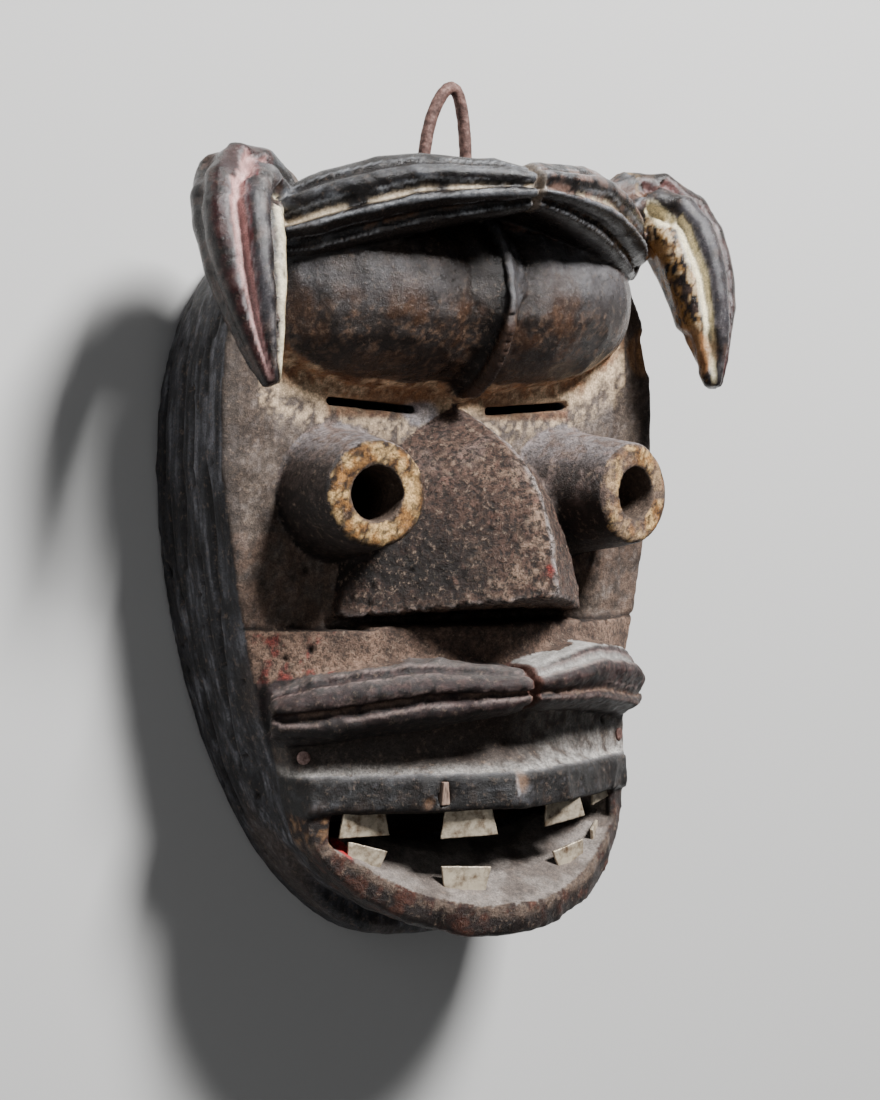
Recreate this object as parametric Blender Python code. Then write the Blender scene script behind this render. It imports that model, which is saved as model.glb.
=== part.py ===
"""A carved wooden face mask with tubular eyes and two horns, lying on its open back.

X runs across the face, to the right of someone facing it. Y runs up the face, from the chin to the
crown, and Z runs forward out of the face, so the mask rests on its rim with the face looking up.
Everything is in metres. Heights are measured up from the lowest point of the chin's rim and depths
forward from the rim, and the whole is centred on its bounding box at the end.
"""

import math

import bmesh
import bpy
from mathutils import Vector

# The shell: a deep bowl of wood, open behind
MASK_HEIGHT = 0.290
RIM_HALF_WIDTH = 0.098
FACE_HALF_WIDTH = 0.101
FACE_DEPTH = 0.054
WALL = 0.013
FACE_THICKNESS = 0.013

# How far the nose tip stands in front of the face plate, the deepest relief of the carving
RELIEF = 0.065

# Heights on the face, up from the chin
WIDEST_HEIGHT = 0.635 * MASK_HEIGHT
FACE_TOP = 0.990 * MASK_HEIGHT
FACE_BOTTOM = 0.026 * MASK_HEIGHT
JAW_BOTTOM = 0.038 * MASK_HEIGHT
MOUTH_CORNER_HEIGHT = 0.162 * MASK_HEIGHT
JAW_WIDEST_HEIGHT = 0.207 * MASK_HEIGHT
LIP_BOTTOM = 0.203 * MASK_HEIGHT
LIP_TOP = 0.248 * MASK_HEIGHT
MOUSTACHE_HEIGHT = 0.355 * MASK_HEIGHT
CHEEK_STEP_HEIGHT = 0.434 * MASK_HEIGHT
NOSE_BOTTOM = 0.445 * MASK_HEIGHT
EYE_HEIGHT = 0.603 * MASK_HEIGHT
SLIT_HEIGHT = 0.711 * MASK_HEIGHT
NOSE_TOP = 0.714 * MASK_HEIGHT
BROW_HEIGHT = 0.738 * MASK_HEIGHT
BAND_HEIGHT = 0.986 * MASK_HEIGHT

# The eyes
EYE_SPACING = 0.1208
EYE_FORWARD = 0.600 * RELIEF
EYE_RIM_RADIUS = 0.0192
EYE_BASE_RADIUS = 0.0262
EYE_BORE_RADIUS = 0.0098
EYE_SPLAY = math.radians(10.0)
EYE_SINK = 0.006
SLIT_INNER = 0.0155
SLIT_OUTER = 0.0570
SLIT_OPENING = 0.0032
SLIT_RISE = 0.0030

# The headband and the moustache: each is two fluted tusks that meet at a saw cut
BAND_HALF_LENGTH = 0.0840
BAND_CUT = 0.0030
MOUSTACHE_HALF_LENGTH = 0.0842
MOUSTACHE_DRAW = 0.0150
MOUSTACHE_CUT = 0.0034
CUT_DEPTH = 0.0060

# The horns at the ends of the headband
HORN_ACROSS = 0.1055
HORN_TOP_HEIGHT = 0.990 * MASK_HEIGHT
HORN_TIP_HEIGHT = 0.741 * MASK_HEIGHT
HORN_ROOT_DEPTH = 0.0420
HORN_TIP_DEPTH = 0.0900
HORN_RADIUS = 0.0166

# Pieces that are let into the wood keep this gap round them
FIT_GAP = 0.0003

# The iron loop behind the headband
LOOP_ROD_RADIUS = 0.0025
LOOP_MIDDLE = 0.0016
LOOP_HALF_WIDTH = 0.0100
LOOP_LEAN = 0.0032
LOOP_TOP = 1.148 * MASK_HEIGHT
LOOP_DEPTH = 0.90 * FACE_DEPTH
LOOP_SEAT_DEPTH = 0.014

# The metal teeth: how far across the face, turned to the side and tipped, in degrees, and their size
TOOTH_THICKNESS = 0.0012
TOOTH_HEIGHT = 0.0120
TOOTH_WIDTH = 0.0205
TOOTH_TAPER = 0.76
TOOTH_ROOT = 0.0038
UPPER_TEETH = ((-0.0540, -8, 0, 1.0), (-0.0190, -20, 2, 1.08), (0.0285, 0, 8, 0.96), (0.0585, 22, 10, 0.62))
LOWER_TEETH = ((-0.0530, -10, -16, 0.80), (-0.0155, -14, -4, 0.98), (0.0390, 6, 12, 0.80), (0.0565, 40, 12, 0.55))

# The mouth
UPPER_LIP_HALF_WIDTH = 0.738 * FACE_HALF_WIDTH
MOUTH_HALF_WIDTH = 0.660 * FACE_HALF_WIDTH
MOUTH_FLOOR_SLOPE = 0.58

# The nails beside the mouth and the wooden wedge in the upper lip
NAIL_HEAD_RADIUS = 0.0026
NAIL_HEAD_HEIGHT = 0.0014
NAIL_SHANK_RADIUS = 0.0012
NAIL_LENGTH = 0.0120
NAIL_ACROSS = 0.735 * FACE_HALF_WIDTH
NAIL_HEIGHT = 0.273 * MASK_HEIGHT
WEDGE_ACROSS = -0.0300
WEDGE_WIDTH = 0.0038
WEDGE_DEPTH = 0.0060
WEDGE_PROUD = 0.0004

# The lacing holes round the rim
LACING_HOLE_RADIUS = 0.0019
LACING_HOLE_SIDES = 6
LACING_HOLE_DEPTH = 0.0075
LACING_HOLE_COUNT = 14

# Facets
RIM_POINTS = 52
TUSK_SIDES = 28
EYE_SIDES = 28
NAIL_SIDES = 12
LOOP_SIDES = 12
CLEAR = 0.02


def value_at(stations, t):
    """The value at t of a smooth curve through (t, value) stations in rising order."""
    t = min(max(t, stations[0][0]), stations[-1][0])
    last = len(stations) - 2
    i = next((k for k in range(last + 1) if t <= stations[k + 1][0]), last)
    (t0, v0), (t1, v1) = stations[i], stations[i + 1]
    before = stations[max(i - 1, 0)]
    after = stations[min(i + 2, last + 1)]
    slope0 = (v1 - before[1]) / (t1 - before[0])
    slope1 = (after[1] - v0) / (after[0] - t0)
    run = t1 - t0
    s = (t - t0) / run
    return (
        v0 * (1 + 2 * s) * (1 - s) ** 2
        + v1 * s * s * (3 - 2 * s)
        + run * s * (1 - s) * (slope0 * (1 - s) - slope1 * s)
    )


def eased(t):
    """0 before 0, 1 after 1, and a smooth rise between."""
    t = min(max(t, 0.0), 1.0)
    return t * t * (3 - 2 * t)


def word_for(side):
    return "right" if side > 0 else "left"


def material(name, colour, roughness, metallic=0.0):
    made = bpy.data.materials.new(name)
    made.use_nodes = True
    shader = made.node_tree.nodes["Principled BSDF"]
    shader.inputs["Base Color"].default_value = (*colour, 1.0)
    shader.inputs["Roughness"].default_value = roughness
    shader.inputs["Metallic"].default_value = metallic
    return made


def skinned(name, rings, finish=None):
    """A closed solid skinned over rings of points, capped at both ends."""
    shape = bmesh.new()
    loops = [[shape.verts.new(point) for point in ring] for ring in rings]
    for lower, upper in zip(loops, loops[1:]):
        for i in range(len(lower)):
            j = (i + 1) % len(lower)
            shape.faces.new((lower[i], lower[j], upper[j], upper[i]))
    for loop in (loops[0], loops[-1]):
        middle = shape.verts.new(sum((corner.co for corner in loop), Vector()) / len(loop))
        for i in range(len(loop)):
            shape.faces.new((loop[i], loop[(i + 1) % len(loop)], middle))
    bmesh.ops.recalc_face_normals(shape, faces=shape.faces)
    mesh = bpy.data.meshes.new(name)
    shape.to_mesh(mesh)
    shape.free()
    made = bpy.data.objects.new(name, mesh)
    bpy.context.scene.collection.objects.link(made)
    if finish:
        mesh.materials.append(finish)
    return made


def round_bar(name, stations, sides, finish=None):
    """A solid turned about a straight axis through (centre, radius) stations."""
    along = (stations[-1][0] - stations[0][0]).normalized()
    side = along.cross(Vector((0, 1, 0) if abs(along.y) < 0.9 else (0, 0, 1))).normalized()
    up = side.cross(along)
    turns = [2 * math.pi * (k + 0.5) / sides for k in range(sides)]
    rings = [
        [centre + radius * (side * math.cos(a) + up * math.sin(a)) for a in turns]
        for centre, radius in stations
    ]
    return skinned(name, rings, finish)


def round_hole(name, stations, sides):
    """A cutter whose flats, not its corners, lie at the wanted radius."""
    widen = 1 / math.cos(math.pi / sides)
    return round_bar(name, [(centre, radius * widen) for centre, radius in stations], sides)


def cut_or_join(target, name, forms, operation):
    """Takes all the forms away from the target, or joins them on, in one Boolean."""
    group = bpy.data.collections.new(name)
    bpy.context.scene.collection.children.link(group)
    for form in forms:
        form.hide_render = True
        form.display_type = "WIRE"
        bpy.context.scene.collection.objects.unlink(form)
        group.objects.link(form)
    boolean = target.modifiers.new(name, "BOOLEAN")
    boolean.solver = "EXACT"
    boolean.operation = operation
    boolean.operand_type = "COLLECTION"
    boolean.collection = group


def settle(target, forms):
    """Keeps the result of the Booleans as the target's own mesh and removes the forms."""
    bpy.context.view_layer.update()
    graph = bpy.context.evaluated_depsgraph_get()
    result = bpy.data.meshes.new_from_object(target.evaluated_get(graph))
    groups = [boolean.collection for boolean in target.modifiers]
    target.modifiers.clear()
    target.data = result
    result.name = target.name
    for form in forms:
        bpy.data.objects.remove(form)
    for group in groups:
        bpy.data.collections.remove(group)


def shade_round(piece, sharpest=40.0):
    """Smooth shading, with an edge wherever two faces meet more sharply than the angle in degrees."""
    piece.data.shade_smooth()
    piece.data.set_sharp_from_angle(angle=math.radians(sharpest))


# The shell and its hollow


def shell_level(share):
    """The mask's outline a share of the way from the rim, at 0, to the edge of the face, at 1."""
    rim = (RIM_HALF_WIDTH, MASK_HEIGHT, 0.0, 2.3, 1.85, 0.0, 0.0)
    edge = (FACE_HALF_WIDTH, FACE_TOP, FACE_BOTTOM, 3.4, 3.0, 0.14, FACE_DEPTH)
    return [a + (b - a) * share for a, b in zip(rim, edge)]


def outline_ring(level, inset=0.0):
    """Points round a level: (half width, top, bottom, squareness above and below, taper, depth)."""
    half_width, top, bottom, square_up, square_down, taper, depth = level
    ring = []
    for i in range(RIM_POINTS):
        angle = 2 * math.pi * i / RIM_POINTS
        across, up = math.cos(angle), math.sin(angle)
        squareness = square_up if up > 0 else square_down
        reach = top - WIDEST_HEIGHT if up > 0 else WIDEST_HEIGHT - bottom
        rise = math.copysign(abs(up) ** (2 / squareness), up) * (reach - inset)
        half = half_width - inset + min(rise, 0.0) * taper
        side = math.copysign(abs(across) ** (2 / squareness), across) * half
        ring.append(Vector((side, WIDEST_HEIGHT + rise, depth)))
    return ring


def crown_height(across):
    """The height of the face plate's upper edge at a distance from the middle."""
    squareness = shell_level(1.0)[3]
    share = min(abs(across) / FACE_HALF_WIDTH, 1.0)
    return WIDEST_HEIGHT + (FACE_TOP - WIDEST_HEIGHT) * (1 - share**squareness) ** (1 / squareness)


def jaw_half_width(height):
    """Half the width of the lower face at a height: half an ellipse under straight cheeks."""
    jaw = 0.752 * FACE_HALF_WIDTH
    cheek = 0.885 * FACE_HALF_WIDTH
    if height >= JAW_WIDEST_HEIGHT:
        rise = (height - JAW_WIDEST_HEIGHT) / (CHEEK_STEP_HEIGHT - JAW_WIDEST_HEIGHT)
        return jaw + (cheek - jaw) * rise
    drop = (JAW_WIDEST_HEIGHT - height) / (JAW_WIDEST_HEIGHT - JAW_BOTTOM)
    return jaw * math.sqrt(max(1 - drop * drop, 0.0))


def make_shell(finish):
    """The bowl from its flat rim to the edge of the face, with the face plate slightly domed."""
    swell = 0.0016
    bulges = ((0.0, 0.0), (0.25, 0.8), (0.65, 1.0), (1.0, 0.0))
    rings = [outline_ring(shell_level(share), -swell * bulge) for share, bulge in bulges]
    edge = rings[-1]
    centre = Vector((0.0, WIDEST_HEIGHT, FACE_DEPTH))
    for reach, dome in ((0.90, 0.0006), (0.55, 0.0016), (0.2, 0.0020)):
        rings.append([centre.lerp(point, reach) + Vector((0, 0, dome)) for point in edge])
    # Below the cheeks the bowl stops at a lower flange, and the jaw stands on it
    flange = 0.70 * FACE_DEPTH
    for ring in rings[3:]:
        for point in ring:
            low = eased((0.30 * MASK_HEIGHT - point.y) / (0.12 * MASK_HEIGHT))
            point.z += (flange - FACE_DEPTH) * low
    return skinned("mask_body", rings, finish)


def make_hollow():
    """The space behind the face: a bowl that stays a wall's thickness inside the shell."""
    ceiling = FACE_DEPTH - FACE_THICKNESS
    steps = ((-CLEAR, WALL), (0.0, WALL), (0.45, 1.15 * WALL), (0.80, 1.7 * WALL), (1.0, 3.2 * WALL))
    rings = []
    for share, inset in steps:
        level = shell_level(max(share, 0.0) * 0.45)
        level[-1] = share * ceiling if share >= 0 else share
        rings.append(outline_ring(level, inset))
    return skinned("hollow", rings)


def make_pocket(name, centre, half_sizes):
    """An egg-shaped scoop out of the back of the face."""
    stations = 9
    sides = 16
    rings = []
    for n in range(stations):
        slope = math.pi * ((n + 0.25) / (stations - 0.5) - 0.5)
        reach = math.cos(slope)
        depth = centre[2] + half_sizes[2] * math.sin(slope)
        ring = []
        for k in range(sides):
            angle = 2 * math.pi * k / sides
            across = centre[0] + half_sizes[0] * reach * math.cos(angle)
            ring.append(Vector((across, centre[1] + half_sizes[1] * reach * math.sin(angle), depth)))
        rings.append(ring)
    return skinned(name, rings)


def make_pockets():
    """The deeper scoops for the wearer's nose and mouth."""
    start = 0.55 * FACE_DEPTH
    nose_middle = 0.555 * MASK_HEIGHT
    nose = (0.24 * FACE_HALF_WIDTH, 0.082 * MASK_HEIGHT, 0.70 * RELIEF)
    mouth_middle = 0.300 * MASK_HEIGHT
    mouth = (0.40 * FACE_HALF_WIDTH, 0.115 * MASK_HEIGHT, 0.52 * RELIEF)
    return [
        make_pocket("nose_pocket", (0.0, nose_middle, start), nose),
        make_pocket("mouth_pocket", (0.0, mouth_middle, start), mouth),
    ]


def make_lacing_holes():
    """Cutters for the small holes through the wall near the rim, for the cords of the costume."""
    inner = outline_ring(shell_level(0.0), 2 * WALL)
    outer = outline_ring(shell_level(0.0), -WALL)
    up = Vector((0, 0, LACING_HOLE_DEPTH))
    holes = []
    for n in range(LACING_HOLE_COUNT):
        i = round((n + 0.5) * RIM_POINTS / LACING_HOLE_COUNT) % RIM_POINTS
        ends = [(inner[i] + up, LACING_HOLE_RADIUS), (outer[i] + up, LACING_HOLE_RADIUS)]
        holes.append(round_bar(f"lacing_hole_{n + 1}", ends, LACING_HOLE_SIDES))
    return holes


# The brow


def make_brow():
    """The swollen forehead: two lobes either side of a raised ridge that runs down to the nose."""
    half_width = 0.835 * FACE_HALF_WIDTH
    bulge = 0.555 * RELIEF
    sunk = 0.0030
    ridge_half_width = 0.0075
    ridge_height = 0.0055
    furrow = 0.0030
    back = FACE_DEPTH - 0.6 * FACE_THICKNESS
    shares = (0.085, 0.14, 0.22, 0.36, 0.52, 0.68, 0.82, 0.92, 0.97, 1.0)
    left = [-share * half_width for share in reversed(shares)]
    right = [share * half_width for share in shares]
    steps = 12
    rings = []
    for across in left + [0.0] + right:
        share = abs(across) / half_width
        # The lower edge lifts towards the temples, more on the right, and dips to meet the nose
        low = BROW_HEIGHT + (0.072 if across > 0 else 0.036) * MASK_HEIGHT * share**3.5
        low -= 0.9 * (BROW_HEIGHT - NOSE_TOP) * max(1 - abs(across) / (1.5 * ridge_half_width), 0.0)
        high = crown_height(across) - 0.0020
        fullness = max(1 - share**3.4, 0.0) ** 0.5
        ridge = max(1 - abs(across) / ridge_half_width, 0.0) * ridge_height
        off = (abs(across) - 1.5 * ridge_half_width) / (0.7 * ridge_half_width)
        ridge -= furrow * math.exp(-off * off)
        ring = [Vector((across, low, back))]
        for n in range(steps + 1):
            v = -math.cos(math.pi * n / steps)
            profile = max(1 - abs(v) ** 2.2, 0.0) ** 0.55
            lift = bulge * fullness * profile + ridge * min(3 * profile, 1.0)
            height = (low + high) / 2 + v * (high - low) / 2
            ring.append(Vector((across, height, FACE_DEPTH - sunk + lift)))
        ring.append(Vector((across, high, back)))
        rings.append(ring)
    return skinned("brow", rings)


# The headband, the moustache and the horns


def grooved(angle, grooves):
    """How far out a fluted outline is at an angle, for V grooves of (angle, depth, half angle)."""
    reach = 1.0
    for middle, depth, half_angle in grooves:
        off = abs((angle - math.radians(middle) + math.pi) % (2 * math.pi) - math.pi)
        reach -= depth * max(1 - off / math.radians(half_angle), 0.0)
    return reach


def make_fluted_bar(name, size, front_line, tusks, grooves, pinch):
    """Two tusks end to end across the face, parted by a saw cut, with a root that runs back into it.

    size is half the length, the width of the cut and how far the ends draw in towards the back.
    front_line is the depth in the middle, the depth at the ends and how late the line falls between
    them. tusks holds, for the left and the right one, (share of the length, value) stations for the
    height of its middle line, half its height and half its thickness.
    """
    half_length, cut, draw = size
    inner_depth, outer_depth, bow = front_line
    back = FACE_DEPTH - 0.4 * FACE_THICKNESS
    shares = (0.0, 0.12, 0.25, 0.38, 0.5, 0.62, 0.74, 0.85, 0.93, 1.0)
    left = [(-1, share, 0.0) for share in reversed(shares)] + [(-1, 0.0, CUT_DEPTH)]
    right = [(1, 0.0, CUT_DEPTH)] + [(1, share, 0.0) for share in shares]
    rings = []
    for side, share, sink in left + right:
        heights, half_heights, half_depths = tusks[0] if side < 0 else tusks[1]
        across = cut / 2 + (half_length - cut / 2) * share - 0.03 * sink
        front = inner_depth - (inner_depth - outer_depth) * share**bow
        slope = bow * share ** (bow - 1) * (inner_depth - outer_depth) / half_length
        half_height = value_at(half_heights, share) - 0.5 * sink
        half_depth = value_at(half_depths, share)
        middle = front - half_depth
        # The last rings close in, so that the ends are rounded
        close = 1 - 0.30 * eased((share - 0.86) / 0.14)
        ring = []
        for i in range(TUSK_SIDES):
            angle = 2 * math.pi * i / TUSK_SIDES
            reach = grooved(angle, grooves)
            forward, up = math.cos(angle) * reach, math.sin(angle) * reach
            lean = 0.0
            if forward > 0:
                depth = middle + forward * (half_depth - sink) * close
                lean = 0.5 * forward * half_depth * slope * min(4 * share, 1.0)
            else:
                depth = middle + forward * (middle - back)
                up *= 1 + pinch * forward
                lean = draw * forward * share**2
            height = value_at(heights, share) + up * half_height * close
            ring.append(Vector((side * (across + lean), height, depth)))
        rings.append(ring)
    return skinned(name, rings)


def make_headband():
    """The band across the crown: thin at the cut in the middle, thickest half way, drooping at the ends."""
    top = BAND_HEIGHT
    left = (
        ((0.0, top), (0.5, top - 0.0032), (0.8, top - 0.0103), (1.0, top - 0.0160)),
        ((0.0, 0.0085), (0.2, 0.0110), (0.5, 0.0149), (0.8, 0.0153), (1.0, 0.0140)),
        ((0.0, 0.0120), (0.5, 0.0165), (1.0, 0.0140)),
    )
    right = (
        ((0.0, top + 0.0012), (0.5, top - 0.0030), (0.8, top - 0.0100), (1.0, top - 0.0165)),
        ((0.0, 0.0088), (0.2, 0.0112), (0.5, 0.0150), (0.8, 0.0155), (1.0, 0.0135)),
        ((0.0, 0.0120), (0.5, 0.0165), (1.0, 0.0140)),
    )
    grooves = ((54, 0.15, 16), (9, 0.27, 21), (-36, 0.22, 21))
    front_line = (FACE_DEPTH + 0.90 * RELIEF, FACE_DEPTH + 0.24 * RELIEF, 1.75)
    size = (BAND_HALF_LENGTH, BAND_CUT, 0.0)
    return make_fluted_bar("headband", size, front_line, (left, right), grooves, 0.35)


def make_moustache():
    """The moustache over the mouth: thin at the cut under the nose and deeper towards the cheeks."""
    middle = MOUSTACHE_HEIGHT
    left = (
        ((0.0, middle), (0.5, middle - 0.0020), (1.0, middle - 0.0088)),
        ((0.0, 0.0075), (0.45, 0.0125), (1.0, 0.0118)),
        ((0.0, 0.0110), (0.5, 0.0140), (1.0, 0.0110)),
    )
    right = (
        ((0.0, middle + 0.0005), (0.5, middle + 0.0022), (1.0, middle - 0.0050)),
        ((0.0, 0.0078), (0.45, 0.0128), (1.0, 0.0128)),
        ((0.0, 0.0110), (0.5, 0.0140), (1.0, 0.0110)),
    )
    grooves = ((48, 0.16, 16), (-9, 0.28, 21), (-60, 0.12, 17))
    front_line = (FACE_DEPTH + 0.86 * RELIEF, FACE_DEPTH + 0.24 * RELIEF, 1.6)
    tusks = (left, right)
    size = (MOUSTACHE_HALF_LENGTH, MOUSTACHE_CUT, MOUSTACHE_DRAW)
    return make_fluted_bar("moustache", size, front_line, tusks, grooves, -0.15)


def make_horn(side):
    """A fluted horn that rises from the corner of the forehead, bends over and points down and forward."""
    # Each is the share of the way, then the share of how far out, down or forward, or of the radius
    outs = ((0.0, 0.56), (0.16, 0.77), (0.29, 0.91), (0.42, 0.978), (0.6, 1.0), (0.8, 0.992), (1.0, 0.972))
    falls = ((0.0, 0.30), (0.16, 0.06), (0.29, 0.010), (0.42, 0.135), (0.6, 0.42), (0.8, 0.73), (1.0, 1.0))
    forwards = ((0.0, 0.0), (0.16, 0.17), (0.29, 0.34), (0.42, 0.55), (0.6, 0.74), (0.8, 0.88), (1.0, 1.0))
    radii = ((0.0, 0.70), (0.16, 0.90), (0.29, 0.98), (0.42, 1.0), (0.6, 0.88), (0.8, 0.58), (0.93, 0.34))
    radii += ((1.0, 0.2),)
    grooves = ((-33, 0.30, 25), (35, 0.30, 25), (100, 0.12, 22), (-110, 0.10, 22))
    # The right horn sits a little higher than the left
    raised = 0.0018 * side
    steps = 13
    places = []
    for n in range(steps + 1):
        share = n / steps
        across = side * HORN_ACROSS * value_at(outs, share)
        height = HORN_TOP_HEIGHT - (HORN_TOP_HEIGHT - HORN_TIP_HEIGHT) * value_at(falls, share) + raised
        depth = HORN_ROOT_DEPTH + (HORN_TIP_DEPTH - HORN_ROOT_DEPTH) * value_at(forwards, share)
        places.append((Vector((across, height, depth)), HORN_RADIUS * value_at(radii, share)))
    rings = []
    for n, (centre, radius) in enumerate(places):
        before, after = places[max(n - 1, 0)][0], places[min(n + 1, steps)][0]
        along = (after - before).normalized()
        front = Vector((0, 0, 1)) - along * along.z
        front.normalize()
        outwards = front.cross(along) * side
        ring = []
        for i in range(TUSK_SIDES):
            angle = 2 * math.pi * i / TUSK_SIDES
            reach = radius * grooved(angle, grooves)
            ring.append(centre + front * (reach * math.cos(angle)) + outwards * (reach * math.sin(angle)))
        rings.append(ring)
    return skinned(f"horn_{word_for(side)}", rings)


# The eyes


def eye_axis(side):
    """The middle of an eye tube's front face, and the direction in which it points."""
    face = Vector((side * EYE_SPACING / 2, EYE_HEIGHT, FACE_DEPTH + EYE_FORWARD))
    return face, Vector((side * math.sin(EYE_SPLAY), 0.0, math.cos(EYE_SPLAY)))


def make_eye_tube(side):
    """A tapered tube with a worn edge round its front face."""
    face, outwards = eye_axis(side)
    length = (EYE_FORWARD + EYE_SINK) / outwards.z
    worn = 0.0016
    flare = (EYE_BASE_RADIUS - EYE_RIM_RADIUS) / length
    stations = [
        (face - outwards * length, EYE_BASE_RADIUS),
        (face - outwards * worn, EYE_RIM_RADIUS + flare * worn),
        (face, EYE_RIM_RADIUS - worn),
    ]
    return round_bar(f"eye_tube_{word_for(side)}", stations, EYE_SIDES)


def make_eye_bore(side):
    """The sight hole, straight through the tube and the face into the hollow."""
    face, outwards = eye_axis(side)
    start = face - outwards * ((face.z - 0.45 * FACE_DEPTH) / outwards.z)
    ends = [(start, EYE_BORE_RADIUS), (face + outwards * CLEAR, EYE_BORE_RADIUS)]
    return round_hole(f"eye_bore_{word_for(side)}", ends, EYE_SIDES)


def make_slit(side):
    """The narrow slit under the brow, cut right through the face."""
    rings = []
    for depth in (0.5 * FACE_DEPTH, FACE_DEPTH + RELIEF):
        ring = []
        for across, up in ((SLIT_INNER, -1), (SLIT_OUTER, -1), (SLIT_OUTER, 1), (SLIT_INNER, 1)):
            rise = SLIT_RISE * (across - SLIT_INNER) / (SLIT_OUTER - SLIT_INNER)
            ring.append(Vector((side * across, SLIT_HEIGHT + rise + up * SLIT_OPENING / 2, depth)))
        rings.append(ring)
    return skinned(f"slit_{word_for(side)}", rings)


# The nose


def make_nose():
    """A broad wedge: a curved ridge in the middle, slightly rounded flanks, and a flat underside."""
    height = NOSE_TOP - NOSE_BOTTOM
    # Each is the share of the height down from the top, then a share of the half width or the relief
    widths = ((0.0, 0.05), (0.08, 0.24), (0.17, 0.42), (0.34, 0.66), (0.53, 0.81), (0.70, 0.90), (1.0, 1.0))
    ridges = ((0.0, 0.05), (0.17, 0.45), (0.36, 0.745), (0.60, 0.905), (1.0, 1.0))
    half_width = 0.562 * FACE_HALF_WIDTH
    back = FACE_DEPTH - FACE_THICKNESS / 2
    steps = 11
    rings = []
    for n in range(steps + 1):
        share = (n / steps) ** 1.15
        half = value_at(widths, share) * half_width
        edge = FACE_DEPTH + RELIEF * (0.03 + 0.115 * share)
        ridge = FACE_DEPTH + RELIEF * value_at(ridges, share)
        lift = 0.030 * MASK_HEIGHT * share
        level = NOSE_TOP - height * share
        ring = [Vector((-half, level, back))]
        for x in (-1, -0.78, -0.52, -0.26, -0.06, 0.06, 0.26, 0.52, 0.78, 1):
            flank = 1 - abs(x)
            swell = 0.055 * RELIEF * math.sin(math.pi * flank) * min(2 * share, 1.0)
            ring.append(Vector((x * half, level + lift * flank, edge + (ridge - edge) * flank + swell)))
        ring.append(Vector((half, level, back)))
        rings.append(ring)
    return skinned("nose", rings)


# The lower face


def lower_face_front(height):
    """The depth of the lower face at its edge and in its middle, at a height."""
    edges = ((0.038, 0.62), (0.065, 0.46), (0.155, 0.235), (0.25, 0.165), (0.35, 0.05), (0.434, -0.01))
    middles = ((0.038, 0.64), (0.07, 0.66), (0.20, 0.60), (0.29, 0.50), (0.36, 0.54), (0.434, 0.50))
    share = height / MASK_HEIGHT
    return FACE_DEPTH + RELIEF * value_at(edges, share), FACE_DEPTH + RELIEF * value_at(middles, share)


def lower_face_depth(across, height):
    """The depth of the lower face's surface at a place."""
    edge, middle = lower_face_front(height)
    share = min(abs(across) / jaw_half_width(height), 1.0)
    return edge + (middle - edge) * (1 - share**1.7)


def make_lower_face():
    """The jaw and cheeks, which swell forward to the mouth, cut square under the cheek step."""
    shares = (0.042, 0.047, 0.057, 0.072, 0.095, 0.125, 0.16, 0.205, 0.25, 0.29, 0.33, 0.38, 0.434)
    columns = 14
    back = 0.60 * FACE_DEPTH
    rings = []
    for share in shares:
        height = share * MASK_HEIGHT
        half = jaw_half_width(height) - 0.0008
        pull = 0.0004 + 0.0075 * eased((0.22 * MASK_HEIGHT - height) / (0.10 * MASK_HEIGHT))
        foot = max(half - pull, 0.3 * half)
        ring = [Vector((-foot, height, back))]
        for k in range(columns + 1):
            across = (2 * k / columns - 1) * half
            ring.append(Vector((across, height, lower_face_depth(across, height))))
        ring.append(Vector((foot, height, back)))
        rings.append(ring)
    return skinned("lower_face", rings)


def lip_depth(across):
    """How far forward the upper lip's front is, at a distance from the middle."""
    fronts = ((0.0, 0.735), (0.25, 0.666), (0.55, 0.512), (0.72, 0.408), (0.87, 0.330), (1.0, 0.255))
    return FACE_DEPTH + RELIEF * value_at(fronts, min(abs(across) / UPPER_LIP_HALF_WIDTH, 1.0))


def make_upper_lip():
    """A square-fronted band over the mouth, with a slope up to the moustache."""
    steps = 14
    back = FACE_DEPTH - FACE_THICKNESS / 2
    slope_top = LIP_TOP + 0.040 * MASK_HEIGHT
    rings = []
    for n in range(steps + 1):
        across = UPPER_LIP_HALF_WIDTH * (2 * n / steps - 1)
        front = lip_depth(across)
        corners = (
            (LIP_BOTTOM, back),
            (LIP_BOTTOM, front - 0.0010),
            (LIP_BOTTOM + 0.0015, front),
            (LIP_TOP - 0.0010, front - 0.0006),
            (LIP_TOP, front - 0.0022),
            (slope_top, front - 0.24 * RELIEF),
            (slope_top, back),
        )
        rings.append([Vector((across, height, depth)) for height, depth in corners])
    return skinned("upper_lip", rings)


def mouth_edge(across):
    """The height and depth of the lower lip's inner edge at a distance from the middle."""
    share = min(abs(across) / MOUTH_HALF_WIDTH, 1.0)
    low = JAW_BOTTOM + 0.038 * MASK_HEIGHT
    height = low + (MOUTH_CORNER_HEIGHT - low) * share**2.3
    return height, FACE_DEPTH + RELIEF * (0.675 - 0.385 * share**1.5)


def mouth_floor(across, behind):
    """The height of the mouth's floor some way behind the lower lip's edge."""
    height = mouth_edge(across)[0] + MOUTH_FLOOR_SLOPE * behind
    return min(height, LIP_BOTTOM - 0.0095)


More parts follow.
